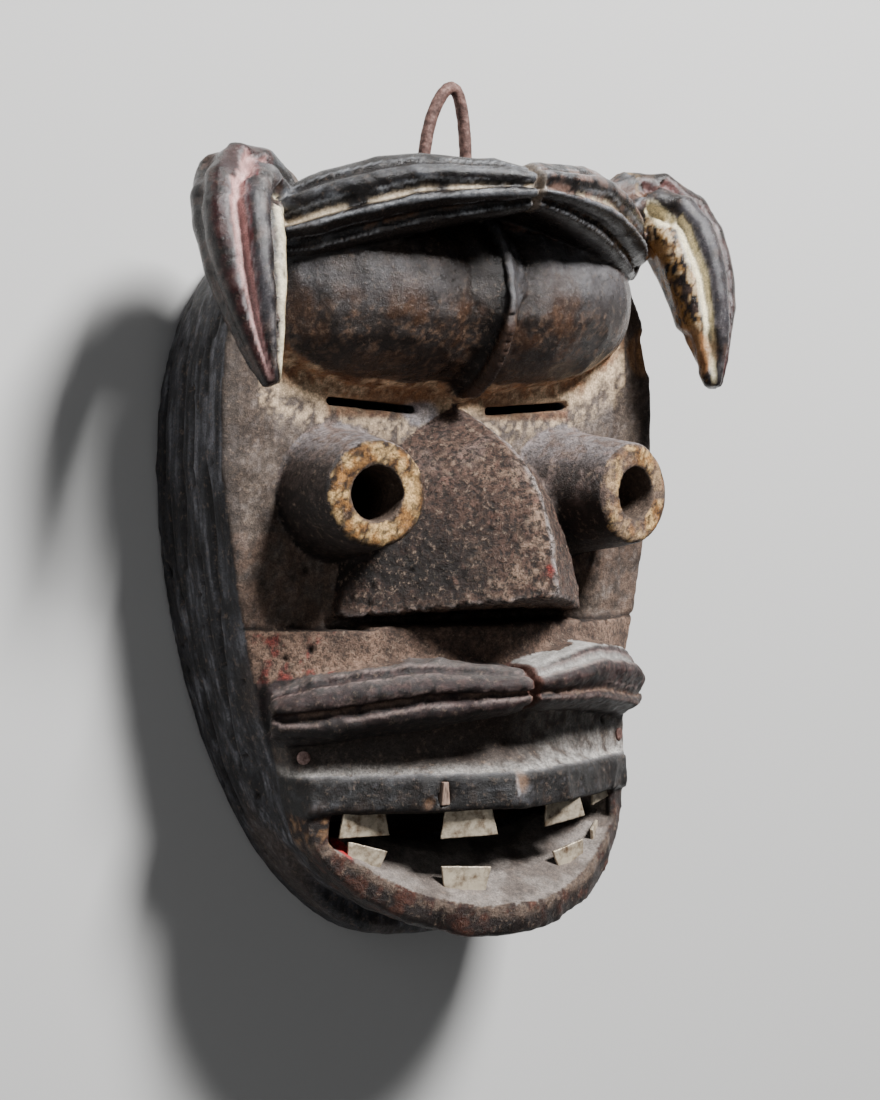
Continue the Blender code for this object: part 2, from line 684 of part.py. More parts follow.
def make_mouth():
    """The open mouth: its floor rises inwards to a slot that opens into the hollow."""
    ceiling = LIP_BOTTOM - 0.0008
    steps = 16
    rings = []
    for behind, narrow in ((-0.035, 1.0), (0.0, 1.0), (0.014, 0.97), (0.028, 0.88), (0.050, 0.66)):
        floor, lid = [], []
        for n in range(steps + 1):
            across = MOUTH_HALF_WIDTH * (2 * n / steps - 1)
            depth = mouth_edge(across)[1] - behind
            if behind > 0.03:
                depth = 0.5 * FACE_DEPTH
            floor.append(Vector((across * narrow, mouth_floor(across, max(behind, 0.0)), depth)))
            lid.append(Vector((across * narrow, ceiling, depth)))
        rings.append(floor + lid[::-1])
    return skinned("mouth", rings)


# Separate pieces let into the wood


def make_loop(finish):
    """The iron loop: a bent rod with both ends driven into the top of the mask behind the headband."""
    top = LOOP_TOP - LOOP_ROD_RADIUS
    seat = MASK_HEIGHT - LOOP_SEAT_DEPTH
    straight = MASK_HEIGHT + 0.008
    bends = 14
    route = [Vector((LOOP_MIDDLE - LOOP_HALF_WIDTH, seat, LOOP_DEPTH))]
    for n in range(bends + 1):
        angle = math.pi * (1 - n / bends)
        rise = math.sin(angle)
        across = LOOP_HALF_WIDTH * math.cos(angle) * (1 - 0.10 * rise * rise) + LOOP_LEAN * rise**2
        route.append(Vector((LOOP_MIDDLE + across, straight + (top - straight) * rise, LOOP_DEPTH)))
    route.append(Vector((LOOP_MIDDLE + LOOP_HALF_WIDTH, seat, LOOP_DEPTH)))
    front = Vector((0, 0, 1))
    turns = [2 * math.pi * k / LOOP_SIDES for k in range(LOOP_SIDES)]
    rings = []
    for n, centre in enumerate(route):
        along = route[min(n + 1, len(route) - 1)] - route[max(n - 1, 0)]
        side = front.cross(along.normalized())
        rings.append([centre + LOOP_ROD_RADIUS * (front * math.cos(a) + side * math.sin(a)) for a in turns])
    return skinned("iron_loop", rings, finish)


def make_loop_seats():
    """The two round holes that hold the ends of the loop."""
    seats = []
    radius = LOOP_ROD_RADIUS + FIT_GAP
    for side in (-1, 1):
        foot = Vector((LOOP_MIDDLE + side * LOOP_HALF_WIDTH, MASK_HEIGHT - LOOP_SEAT_DEPTH - FIT_GAP, LOOP_DEPTH))
        stations = [(foot, radius), (foot + Vector((0, LOOP_SEAT_DEPTH + 0.006, 0)), radius)]
        seats.append(round_hole(f"loop_seat_{word_for(side)}", stations, LOOP_SIDES))
    return seats


def tooth_plate(name, centre, turn, tip, size, root_up, grow, finish=None):
    """A flat plate, narrower at its root; root_up is 1 for an upper tooth and grow widens it all round."""
    turn, tip = math.radians(turn), math.radians(tip)
    across = Vector((math.cos(turn), 0.0, -math.sin(turn)))
    front = Vector((math.sin(turn), 0.0, math.cos(turn)))
    level = across * math.cos(tip) + Vector((0, math.sin(tip), 0))
    rise = front.cross(level)
    half_height = size * TOOTH_HEIGHT / 2 + grow
    rings = []
    for depth in (-TOOTH_THICKNESS / 2 - grow, TOOTH_THICKNESS / 2 + grow):
        ring = []
        for x, y in ((-1, -1), (1, -1), (1, 1), (-1, 1)):
            half_width = size * TOOTH_WIDTH / 2 * (TOOTH_TAPER if y * root_up > 0 else 1.0) + grow
            ring.append(centre + level * (x * half_width) + rise * (y * half_height) + front * depth)
        rings.append(ring)
    return skinned(name, rings, finish)


def make_teeth(finish):
    """The metal teeth, and the slots in the wood that hold them."""
    teeth, slots = [], []
    for row, places, root_up in (("upper", UPPER_TEETH, 1), ("lower", LOWER_TEETH, -1)):
        for n, (across, turn, tip, size) in enumerate(places):
            if root_up > 0:
                depth = lip_depth(across) - 0.0055
                gum = LIP_BOTTOM - 0.0008
            else:
                behind = 0.0050 + 0.0070 * (1 - min(abs(across) / MOUTH_HALF_WIDTH, 1.0))
                depth = mouth_edge(across)[1] - behind
                gum = mouth_floor(across, behind)
            middle = gum - root_up * (size * TOOTH_HEIGHT / 2 - TOOTH_ROOT)
            centre = Vector((across, middle, depth))
            name = f"tooth_{row}_{n + 1}"
            teeth.append(tooth_plate(name, centre, turn, tip, size, root_up, 0.0, finish))
            slots.append(tooth_plate(f"{name}_slot", centre, turn, tip, size, root_up, FIT_GAP))
    return teeth, slots


def make_nails(finish):
    """A round-headed nail in each cheek beside the upper lip, and the bores that hold them."""
    nails, bores = [], []
    step = 0.002
    for side in (-1, 1):
        across = side * NAIL_ACROSS
        surface = lower_face_depth(across, NAIL_HEIGHT)
        slope = (lower_face_depth(across - side * step, NAIL_HEIGHT) - surface) / step
        outwards = Vector((side * slope, 0.0, 1.0)).normalized()
        seat = Vector((across, NAIL_HEIGHT, surface - FIT_GAP))
        top = seat + outwards * NAIL_HEAD_HEIGHT
        point = seat - outwards * (NAIL_LENGTH - NAIL_HEAD_HEIGHT)
        name = f"nail_{word_for(side)}"
        stations = [
            (point, 0.4 * NAIL_SHANK_RADIUS),
            (point + outwards * 0.003, NAIL_SHANK_RADIUS),
            (seat, NAIL_SHANK_RADIUS),
            (seat, NAIL_HEAD_RADIUS),
            (seat + outwards * 0.6 * NAIL_HEAD_HEIGHT, NAIL_HEAD_RADIUS),
            (top, 0.66 * NAIL_HEAD_RADIUS),
        ]
        nails.append(round_bar(name, stations, NAIL_SIDES, finish))
        shank, head = NAIL_SHANK_RADIUS + FIT_GAP, NAIL_HEAD_RADIUS + FIT_GAP
        floor = seat - outwards * FIT_GAP
        bore = [(point - outwards * FIT_GAP, shank), (floor, shank), (floor, head), (top + outwards * CLEAR, head)]
        bores.append(round_hole(f"{name}_bore", bore, NAIL_SIDES))
    return nails, bores


def wedge_form(name, grow, proud, finish=None):
    """A thin wedge, wider at its foot, let into the front of the upper lip."""
    front = lip_depth(WEDGE_ACROSS)
    foot, top = LIP_BOTTOM + 0.0025, LIP_TOP - 0.0020
    rings = []
    for depth in (front - WEDGE_DEPTH - grow, front + proud):
        ring = []
        for x, y, taper in ((-1, foot - grow, 1.0), (1, foot - grow, 1.0), (1, top + grow, 0.62), (-1, top + grow, 0.62)):
            ring.append(Vector((WEDGE_ACROSS + x * (WEDGE_WIDTH / 2 * taper + grow), y, depth)))
        rings.append(ring)
    return skinned(name, rings, finish)


def lay_on_origin(pieces):
    """Moves the whole so that the origin is under the middle of its bounding box, on the resting plane."""
    points = [vertex.co for piece in pieces for vertex in piece.data.vertices]
    low = [min(point[axis] for point in points) for axis in range(3)]
    high = [max(point[axis] for point in points) for axis in range(3)]
    for piece in pieces:
        piece.location = (-(low[0] + high[0]) / 2, -(low[1] + high[1]) / 2, -low[2])


def build():
    for old in list(bpy.data.objects):
        bpy.data.objects.remove(old)
    wood = material("blackened_wood", (0.060, 0.050, 0.044), 0.55)
    iron = material("rusted_iron", (0.200, 0.105, 0.080), 0.75, 0.5)
    tin = material("dull_aluminium", (0.62, 0.58, 0.50), 0.42, 0.85)
    raw_wood = material("raw_wood", (0.34, 0.24, 0.17), 0.8)

    body = make_shell(wood)
    joined = [make_lower_face(), make_brow(), make_nose(), make_upper_lip(), make_headband(), make_moustache()]
    for side in (-1, 1):
        joined += [make_horn(side), make_eye_tube(side)]
    teeth, slots = make_teeth(tin)
    nails, bores = make_nails(iron)
    wedge = wedge_form("lip_wedge", 0.0, WEDGE_PROUD, raw_wood)
    cutters = [make_hollow(), *make_pockets(), make_mouth(), *make_lacing_holes(), *make_loop_seats()]
    for side in (-1, 1):
        cutters += [make_eye_bore(side), make_slit(side)]
    cutters += [*slots, *bores, wedge_form("lip_wedge_slot", FIT_GAP, CLEAR)]
    cut_or_join(body, "carved_forms", joined, "UNION")
    cut_or_join(body, "cutters", cutters, "DIFFERENCE")
    settle(body, joined + cutters)

    loop = make_loop(iron)
    for piece in (body, loop, *nails):
        shade_round(piece)
    lay_on_origin([body, loop, *teeth, *nails, wedge])


build()
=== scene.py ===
"""The looks of a carved wooden face mask with tubular eyes and two horns, lying on its open back."""

import math

import bpy
import numpy as np
from mathutils import Matrix, Vector
from mathutils.kdtree import KDTree


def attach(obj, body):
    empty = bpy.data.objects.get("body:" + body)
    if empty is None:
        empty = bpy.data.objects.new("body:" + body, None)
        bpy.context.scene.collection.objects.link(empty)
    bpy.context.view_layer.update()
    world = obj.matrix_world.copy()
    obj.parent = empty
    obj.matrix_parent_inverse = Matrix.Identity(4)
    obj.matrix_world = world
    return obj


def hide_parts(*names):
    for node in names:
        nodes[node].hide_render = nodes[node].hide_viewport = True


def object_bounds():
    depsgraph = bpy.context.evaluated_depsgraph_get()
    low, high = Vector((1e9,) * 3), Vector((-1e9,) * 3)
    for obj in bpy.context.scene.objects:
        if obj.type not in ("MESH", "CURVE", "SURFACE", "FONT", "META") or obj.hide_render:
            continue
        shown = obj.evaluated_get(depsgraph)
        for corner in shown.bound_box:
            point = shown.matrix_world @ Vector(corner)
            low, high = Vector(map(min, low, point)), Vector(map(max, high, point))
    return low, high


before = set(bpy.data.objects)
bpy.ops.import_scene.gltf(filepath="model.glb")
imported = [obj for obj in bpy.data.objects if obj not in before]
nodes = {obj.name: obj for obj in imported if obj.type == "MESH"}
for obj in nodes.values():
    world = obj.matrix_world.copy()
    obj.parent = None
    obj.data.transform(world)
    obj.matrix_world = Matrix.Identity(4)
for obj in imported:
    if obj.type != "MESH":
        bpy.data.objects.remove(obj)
cad_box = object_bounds()


# The camera looks down on the face from the left, as the photograph does. The mask's axes are
# +X across the face, +Y up it and +Z out of it, and the camera's up runs close to +Y.
YAW = math.radians(36.0)
RISE = math.radians(1.5)
CAMERA_DISTANCE = 1.0
CAMERA_ASIDE = 0.028
AIM = Vector((0.0, -0.0145, 0.0))

across_view = Vector((math.cos(YAW), 0.0, math.sin(YAW)))
towards_camera = Vector((-math.sin(YAW) * math.cos(RISE), math.sin(RISE), math.cos(YAW) * math.cos(RISE)))
up_view = towards_camera.cross(across_view)
lens = bpy.data.cameras.new("camera")
lens.lens = 81.8
lens.sensor_width = 36.0
lens.clip_start = 0.05
camera = bpy.data.objects.new("camera", lens)
bpy.context.scene.collection.objects.link(camera)
turned = Matrix((across_view, up_view, towards_camera)).transposed().to_4x4()
stand = AIM + CAMERA_DISTANCE * towards_camera + CAMERA_ASIDE * across_view
camera.matrix_world = Matrix.Translation(stand) @ turned
bpy.context.scene.camera = camera


# The carving: one block of hard wood, hollowed from the back and carved in front into brow, horns,
# headband, tube eyes, nose, moustache and open mouth, then blackened, daubed and worn.

# Heights Y and depths Z in this section are in millimetres, from the chin's rim and from the back.
# CHIN is where that rim lies in the frame, and RELIEF is how far the nose stands out from the FACE.
GRAIN_VOXEL = 0.00118
CHIN = round(1000.0 * cad_box[0][1], 2)
FACE = 54.0
RELIEF = 65.0
EYE_ACROSS = 60.4
EYE_HEIGHT = 174.9
EYE_FRONT = 93.0
EYE_BASE = 26.5
EYE_BORE = 9.8
EYE_SPLAY = math.radians(10.0)
BAND_MIDDLE = 285.9
BAND_HALF_LENGTH = 84.0
HORN_ACROSS = 105.5
HORN_TOP = 287.1
HORN_FALL = 72.2
HORN_ROOT_DEPTH = 42.0
HORN_TIP_DEPTH = 90.0
HORN_RADIUS = 16.6
HORN_UNEVEN = 1.8
MOUSTACHE_MIDDLE = 103.0
MOUSTACHE_HALF_LENGTH = 84.2
MOUTH_HALF_WIDTH = 66.7
STEP_HEIGHT = 125.9
BROW_BOTTOM = 211.5
NOSE_BOTTOM = 128.5
NOSE_TOP = 209.0

# What the wood has on it, as sRGB values from 0 to 255
WALL_DARK = (26, 25, 27)
WALL_GREY = (62, 62, 66)
WALL_PALE = (128, 128, 134)
WALL_BROWN = (86, 74, 68)
WALL_CRACK = (22, 19, 19)
HOLLOW_BROWN = (88, 68, 52)
HOLLOW_DARK = (58, 44, 34)
HOLLOW_PALE = (120, 96, 74)
PLATE_GREY = (98, 86, 77)
PLATE_BROWN = (62, 51, 45)
WORM_DARK = (28, 18, 14)
STEP_PAINTED_SHADOW = (34, 26, 23)
CREASE_OCHRE = (228, 198, 162)
CREASE_ORANGE = (150, 100, 66)
CREASE_RUST = (118, 66, 38)
CREASE_DARK = (96, 54, 32)
SLIT_BROWN = (104, 62, 38)
SLIT_PALE = (156, 152, 156)
BROW_BLACK = (46, 41, 39)
BROW_GREY = (104, 103, 106)
BROW_BROWN = (70, 50, 38)
BROW_FLECK = (122, 96, 78)
CREST_PAINTED_LIGHT = (92, 92, 95)
CREST_PAINTED_SHADOW = (34, 28, 26)
FURROW_PAINTED_SHADE = (20, 17, 16)
BAND_BLACK = (28, 26, 26)
BAND_GREY = (80, 82, 86)
BAND_DUST = (190, 172, 146)
BAND_PINK = (112, 88, 78)
BAND_CLAY = (128, 92, 66)
BAND_WORN = (124, 126, 130)
BAND_EDGE_WEAR_AND_HIGHLIGHT = (158, 160, 164)
BAND_PAINTED_SHADE = (40, 35, 33)
BAND_NOTCH = (150, 136, 122)
HORN_BLACK = (30, 26, 25)
HORN_BROWN = (84, 68, 62)
HORN_RED = (48, 20, 22)
HORN_CRIMSON = (84, 22, 26)
HORN_PINK = (196, 152, 148)
HORN_GREY = (62, 60, 63)
HORN_PAINTED_SHEEN = (128, 124, 122)
HORN_EDGE_WEAR_AND_HIGHLIGHT = (150, 146, 148)
HORN_CREAM = (228, 214, 182)
HORN_IVORY = (236, 222, 184)
HORN_OCHRE = (156, 116, 68)
HORN_MAUVE = (104, 76, 74)
NOSE_PINK = (92, 70, 60)
NOSE_BLACK = (28, 21, 19)
NOSE_PALE = (172, 162, 158)
NOSE_CLAY = (168, 118, 98)
NOSE_GRAIN = (176, 146, 124)
NOSE_PAINTED_LIGHT = (126, 110, 104)
TUBE_PINK = (112, 96, 90)
TUBE_DARK = (30, 24, 22)
TUBE_PAINTED_LIGHT = (150, 142, 142)
TUBE_CRACK = (52, 30, 18)
TUBE_RAW = (214, 174, 118)
TUBE_OCHRE = (150, 102, 54)
BORE_DARK = (84, 70, 60)
CHEEK_PINK = (134, 108, 92)
CHEEK_DARK = (60, 47, 41)
RED_PAINT = (150, 52, 48)
MOUSTACHE_GREY = (46, 34, 34)
MOUSTACHE_DARK = (18, 16, 16)
MOUSTACHE_FLECK = (88, 66, 62)
MOUSTACHE_WORN = (112, 98, 94)
MOUSTACHE_EDGE_WEAR_AND_HIGHLIGHT = (146, 126, 120)
MOUSTACHE_NOTCH = (104, 66, 54)
DUST_WHITE = (196, 192, 186)
LIP_GREY = (32, 31, 31)
LIP_SCUFF = (132, 130, 130)
LIP_DUST = (78, 70, 65)
LIP_MARK = (168, 168, 170)
LIP_SCRATCH = (84, 84, 88)
LIP_BARE = (128, 98, 76)
MOUTH_GREY = (124, 116, 110)
MOUTH_RED = (176, 30, 36)
JAW_RED = (72, 43, 33)
JAW_BLACK = (28, 24, 23)
JAW_TAN = (142, 120, 104)
RAW_WOOD = (160, 120, 84)
RAW_DARK = (96, 60, 38)


def paint(shade):
    """A colour as the linear values that a colour attribute holds."""
    return (np.array(shade) / 255.0) ** 2.2


def ramp(value, start, end):
    """0 before start and 1 past end, with a smooth rise between them; end may be the lower one."""
    t = np.clip((value - start) / (end - start), 0.0, 1.0)
    return t * t * (3.0 - 2.0 * t)


def between(value, low, high, soft):
    """1 from low to high, falling to 0 over a soft edge on either side."""
    return ramp(value, low - soft, low + soft) * (1.0 - ramp(value, high - soft, high + soft))


NOISE_VALUES = 4096
NOISE_SCATTER = (73856093, 19349663, 83492791)


def mottle(points, size, seed):
    """Smooth noise from 0 to 1 with lumps of a size, which may differ along X, Y and Z."""
    table = np.random.default_rng(seed).random(NOISE_VALUES)
    scaled = points / np.array(size, float) + 1000.0
    cell = np.floor(scaled).astype(np.int64)
    part = scaled - cell
    part = part * part * (3.0 - 2.0 * part)
    total = np.zeros(len(points))
    for corner in range(8):
        step = np.array((corner & 1, corner >> 1 & 1, corner >> 2 & 1))
        key = cell + step
        scattered = key * np.array(NOISE_SCATTER)
        pick = (scattered[:, 0] ^ scattered[:, 1] ^ scattered[:, 2]) & (NOISE_VALUES - 1)
        share = np.prod(np.where(step, part, 1.0 - part), axis=1)
        total += share * table[pick]
    return total


def layered(points, size, seed, layers=3):
    """Noise with finer and fainter layers added, from 0 to 1."""
    total, weight, sum_of_weights = 0.0, 1.0, 0.0
    size = np.array(size, float)
    for layer in range(layers):
        total = total + weight * mottle(points, size / 2.0**layer, seed + layer)
        sum_of_weights += weight
        weight *= 0.55
    return total / sum_of_weights


def near_line(flat, line):
    """How far each flat point is from a line through some points."""
    best = np.full(len(flat), 1e9)
    for a, b in zip(line[:-1], line[1:]):
        a, b = np.array(a, float), np.array(b, float)
        along = b - a
        t = np.clip((flat - a) @ along / (along @ along), 0.0, 1.0)
        best = np.minimum(best, np.linalg.norm(flat - (a + t[:, None] * along), axis=1))
    return best


def settled(values, links, rounds):
    """Values averaged with their neighbours' over the mesh, again and again."""
    count = len(values)
    first, second = links[:, 0], links[:, 1]
    degree = np.bincount(first, minlength=count) + np.bincount(second, minlength=count)
    values = values.reshape(count, -1)
    for _ in range(rounds):
        mean = np.empty_like(values)
        for k in range(values.shape[1]):
            mean[:, k] = np.bincount(first, values[second, k], count)
            mean[:, k] += np.bincount(second, values[first, k], count)
        values = 0.5 * values + 0.5 * mean / degree[:, None]
    return values


def read_mesh(mesh):
    """A mesh's points in millimetres from the chin's rim, its normals and its edges."""
    co = np.empty(len(mesh.vertices) * 3)
    mesh.vertices.foreach_get("co", co)
    points = co.reshape(-1, 3) * 1000.0
    points[:, 1] -= CHIN
    normals = np.array([n.vector for n in mesh.vertex_normals])
    links = np.empty(len(mesh.edges) * 2, np.int32)
    mesh.edges.foreach_get("vertices", links)
    return points, normals, links.reshape(-1, 2)


def write_points(mesh, points):
    """Puts points in millimetres from the chin's rim back into a mesh and shades it smooth."""
    moved = points.copy()
    moved[:, 1] += CHIN
    mesh.vertices.foreach_set("co", (moved / 1000.0).ravel())
    mesh.update()
    for face in mesh.polygons:
        face.use_smooth = True


def solid_copy(node, name):
    """A new piece with the joined-up mesh of a CAD node, selected by itself."""
    piece = bpy.data.objects.new(name, nodes[node].data.copy())
    bpy.context.scene.collection.objects.link(piece)
    bpy.ops.object.select_all(action="DESELECT")
    piece.select_set(True)
    bpy.context.view_layer.objects.active = piece
    piece.data.materials.clear()
    bpy.ops.object.mode_set(mode="EDIT")
    bpy.ops.mesh.select_all(action="SELECT")
    bpy.ops.mesh.remove_doubles(threshold=0.00001)
    bpy.ops.object.mode_set(mode="OBJECT")
    return piece


def applied(piece, kind, **settings):
    """Adds a modifier with these settings to a piece and applies it."""
    modifier = piece.modifiers.new(kind.lower(), kind)
    for name, value in settings.items():
        setattr(modifier, name, value)
    bpy.ops.object.modifier_apply(modifier=modifier.name)


carving = solid_copy("mask_body", "carving")
applied(carving, "REMESH", mode="VOXEL", voxel_size=GRAIN_VOXEL)
applied(carving, "SMOOTH", factor=0.5, iterations=2)
points, normals, links = read_mesh(carving.data)
X, Y, Z = points.T
side_out = np.abs(X)

# Which part of the carving each point belongs to
share = np.clip(side_out / BAND_HALF_LENGTH, 0.0, 1.0)
band_low = BAND_MIDDLE + np.interp(share, (0, 0.5, 0.8, 1.0), (-8.5, -18.0, -25.5, -30.0))
in_band = (Y > band_low) & (side_out < BAND_HALF_LENGTH + 1.0) & (Z > 57.0)
horn_share = (0.0, 0.16, 0.29, 0.42, 0.6, 0.8, 1.0)
horn_outs = np.array((0.56, 0.77, 0.91, 0.978, 1.0, 0.992, 0.972)) * HORN_ACROSS
horn_falls = HORN_TOP - HORN_FALL * np.array((0.30, 0.06, 0.010, 0.135, 0.42, 0.73, 1.0))
horn_shares = np.array((0.0, 0.17, 0.34, 0.55, 0.74, 0.88, 1.0))
horn_depths = HORN_ROOT_DEPTH + (HORN_TIP_DEPTH - HORN_ROOT_DEPTH) * horn_shares
horn_radii = HORN_RADIUS * np.array((0.68, 0.90, 0.98, 1.0, 0.88, 0.58, 0.2))
fine = np.linspace(0.0, 1.0, 60)
route = np.column_stack([np.interp(fine, horn_share, line) for line in (horn_outs, horn_falls, horn_depths)])
reach = np.interp(fine, horn_share, horn_radii)
folded = np.column_stack((side_out, Y - HORN_UNEVEN * np.sign(X), Z))
gap = np.full(len(points), 1e9)
nearest = np.zeros(len(points), int)
for n in range(len(route)):
    away = np.linalg.norm(folded - route[n], axis=1) / reach[n]
    closer = away < gap
    gap[closer], nearest[closer] = away[closer], n
in_horn = (gap < 1.28) & ~in_band & ((side_out > 86.0) | ((Z > 57.0) & (Y > 250.0)))
run = np.gradient(route, axis=0)
run /= np.linalg.norm(run, axis=1)[:, None]
front = np.array((0.0, 0.0, 1.0)) - run * run[:, 2:3]
front /= np.linalg.norm(front, axis=1)[:, None]
outer = np.cross(front, run)
spoke = folded - route[nearest]
horn_turn = np.degrees(np.arctan2((spoke * outer[nearest]).sum(1), (spoke * front[nearest]).sum(1)))
horn_run = fine[nearest]


def band_reach(along):
    """How far forward the headband comes, from its middle at 0 to its ends at 1."""
    return FACE + RELIEF * (0.90 - 0.66 * along**1.75)


def moustache_reach(along):
    """How far forward the moustache comes, from its middle at 0 to its ends at 1."""
    return FACE + RELIEF * (0.86 - 0.62 * along**1.6)


share = side_out / MOUSTACHE_HALF_LENGTH
left_low = np.interp(share, (0, 0.45, 1.0), (-7.5, -14.3, -20.6))
right_low = np.interp(share, (0, 0.45, 1.0), (-7.3, -10.8, -17.8))
left_high = np.interp(share, (0, 0.45, 1.0), (7.5, 10.7, 3.0))
right_high = np.interp(share, (0, 0.45, 1.0), (8.3, 14.8, 7.8))
moustache_low = MOUSTACHE_MIDDLE + np.where(X < 0, left_low, right_low) - 0.6
moustache_high = MOUSTACHE_MIDDLE + np.where(X < 0, left_high, right_high) + 0.6
moustache_front = moustache_reach(np.clip(share, 0, 1))
in_moustache = (Y > moustache_low) & (Y < moustache_high) & (side_out < 87.0) & (Z > moustache_front - 30.0)


def bar_turn(middles, half_heights, fronts, half_depths, length):
    """How far round a bar's outline each point is, in degrees up from straight forward."""
    along = np.clip(side_out / length, 0.0, 1.0)
    rise_of = (Y - np.interp(along, *middles)) / np.interp(along, *half_heights)
    deep = np.interp(along, *half_depths)
    forward = (Z - (fronts(along) - deep)) / deep
    return np.degrees(np.arctan2(rise_of, forward))


band_turn = bar_turn(
    ((0, 0.5, 0.8, 1.0), (285.9, 282.8, 275.7, 269.7)),
    ((0, 0.2, 0.5, 0.8, 1.0), (8.6, 11.1, 14.9, 15.4, 13.8)),
    band_reach,
    ((0, 0.5, 1.0), (12.0, 16.5, 14.0)),
    BAND_HALF_LENGTH,
)
moustache_turn = bar_turn(
    ((0, 0.5, 1.0), (103.2, 103.0, 96.1)),
    ((0, 0.45, 1.0), (7.6, 12.6, 12.3)),
    moustache_reach,
    ((0, 0.5, 1.0), (11.0, 14.0, 11.0)),
    MOUSTACHE_HALF_LENGTH,
)
splay = X - np.sign(X) * (EYE_ACROSS + (Z - EYE_FRONT) * math.tan(EYE_SPLAY))
from_eye = np.hypot(splay, Y - EYE_HEIGHT)
on_tube = (from_eye < EYE_BASE) & (Z > FACE + 1.5) & (from_eye > EYE_BORE + 0.9)
in_bore = (from_eye < EYE_BORE + 0.9) & (Z > 22.0)
tube_front = on_tube & (Z > EYE_FRONT - 6.0) & (normals[:, 2] > 0.55)
faces_inward = (normals[:, 0] * X + normals[:, 1] * (Y - 150.0) * 0.7 < 0) | (normals[:, 2] < -0.75)
in_hollow = (Z < 47.0) & faces_inward & ~in_horn & ~in_bore
on_wall = (Z < FACE - 1.0) & ~in_hollow & ~in_horn & ~in_bore
in_brow = (Y > BROW_BOTTOM) & (side_out < 86.0) & (Z > FACE + 4.0) & ~in_band & ~in_horn & ~on_tube
on_nose = (Y > NOSE_BOTTOM) & (Y < NOSE_TOP) & (Z > FACE + 3.0) & ~on_tube & ~in_bore & (side_out < 60.0)
share = np.linspace(0, 1, 9)
mouth_rim = np.interp(np.clip(side_out / MOUTH_HALF_WIDTH, 0, 1), share, 22.0 + 25.0 * share**2.3)
in_lower = (Y < STEP_HEIGHT) & (Z > FACE - 1.0) & ~in_moustache
in_mouth = in_lower & (Y > mouth_rim - 0.6) & (Y < 59.6) & (side_out < 66.0) & (normals[:, 2] < 0.75)
on_lip = in_lower & (Y > 58.0) & (Y < 72.4) & (side_out < 80.0) & ~in_mouth
on_lip_top = in_lower & (Y >= 72.4) & (Y < MOUSTACHE_MIDDLE)
on_cheek = in_lower & (Y >= MOUSTACHE_MIDDLE - 4.0)
on_jaw = in_lower & (Y <= 58.0) & ~in_mouth
carved = in_lower | in_moustache | in_brow | on_nose | on_tube | in_bore | in_band | in_horn
on_plate = (Z > FACE - 1.0) & ~carved

# Hollows and ridges, found as the height of each point over its settled neighbourhood
narrow_relief = ((points - settled(points, links, 6)) * normals).sum(1)
broad_relief = ((points - settled(points, links, 40)) * normals).sum(1)

# Tool marks, crust, cracks and chips, as heights along the surface in millimetres
lumps = layered(points, (16, 20, 16), 11) - 0.5
dents = layered(points, (5.5, 7, 5.5), 21) - 0.5
crust = layered(points, (2.6, 2.6, 2.6), 31, 2) - 0.5
fibre = layered(points, (2.4, 34, 2.4), 41) - 0.5
height = (1.0 * lumps + 0.42 * dents) * np.where(in_band | in_horn, 0.35, np.where(on_wall, 0.6, 0.85))
height += np.where(on_wall, 0.5 * fibre * (1.0 - normals[:, 1] ** 2), 0.0)
height += np.where(in_hollow, 0.9 * dents, 0.0)
grains = layered(points, (2.4, 2.4, 2.4), 35, 1)
height += np.where(on_nose, (1.7 * crust + 1.1 * (grains - 0.5)) * ramp(195.0 - Y, -8.0, 30.0), 0.0)
lengthways = layered(points, (16, 2.6, 3.0), 51) - 0.5


CUTS_PER_CELL = 1.1


def tool_marks(spots, size, seed):
    """Shallow cups, as an adze leaves them: 0 in each cup's middle, rising to the ridges between."""
    chance = np.random.default_rng(seed)
    scaled = spots / np.array(size, float)
    low, high = scaled.min(0), scaled.max(0)
    seeds = chance.uniform(low, high, (int(np.prod(high - low) * CUTS_PER_CELL), 3))
    tree = KDTree(len(seeds))
    for n, seed_spot in enumerate(seeds):
        tree.insert(seed_spot, n)
    tree.balance()
    away = np.array([tree.find(spot)[2] for spot in scaled])
    return away * away


adze = tool_marks(points, (9.5, 15.0, 9.5), 7)
facets = tool_marks(points, (6.5, 5.0, 6.5), 9)
height += np.where(in_moustache, 0.9 * facets, 0.0)
height += np.where(in_brow | in_hollow | on_lip | on_jaw | on_plate, 1.5 * adze, 0.0)
height += np.where(on_nose | in_moustache | in_band | in_horn | on_cheek, 0.8 * adze, 0.0)
height += np.where(on_wall, 0.4 * adze, 0.0)


def flute(across, centre, half_width):
    """The V of a cut or ridge, across its run: 1 at its centre and 0 past its edges."""
    return np.clip(1.0 - np.abs(across - centre) / half_width, 0.0, 1.0)


# Flutes along the headband, the moustache and the horns, a little unsteady as a hand cuts them
wobble = 3.0 * layered(points, (18, 14, 14), 55) - 1.5
band_angle = band_turn + wobble
band_cut = np.maximum(flute(band_angle, 8.0, 10.0), 0.8 * flute(band_angle, -34.0, 10.0))
band_cut = np.maximum(band_cut, 0.35 * flute(band_angle, 52.0, 8.0)) * in_band
moustache_angle = moustache_turn + wobble
moustache_cut = np.maximum(flute(moustache_angle, -10.0, 12.0), 0.5 * flute(moustache_angle, 46.0, 9.0))
moustache_cut = moustache_cut * in_moustache
horn_angle = horn_turn + wobble
horn_width = 9.0 + 4.0 * horn_run
horn_cut = np.maximum(flute(horn_angle, 35.0, horn_width), flute(horn_angle, -33.0, horn_width))
horn_cut = np.maximum(horn_cut, 0.5 * flute(horn_angle, 100.0, 12.0)) * in_horn * ramp(horn_run, 0.08, 0.2)
to_the_tip = np.interp(horn_run, (0, 0.6, 1.0), (1.0, 0.85, 0.25))
height -= 2.6 * band_cut + 2.8 * moustache_cut + 2.9 * horn_cut * to_the_tip

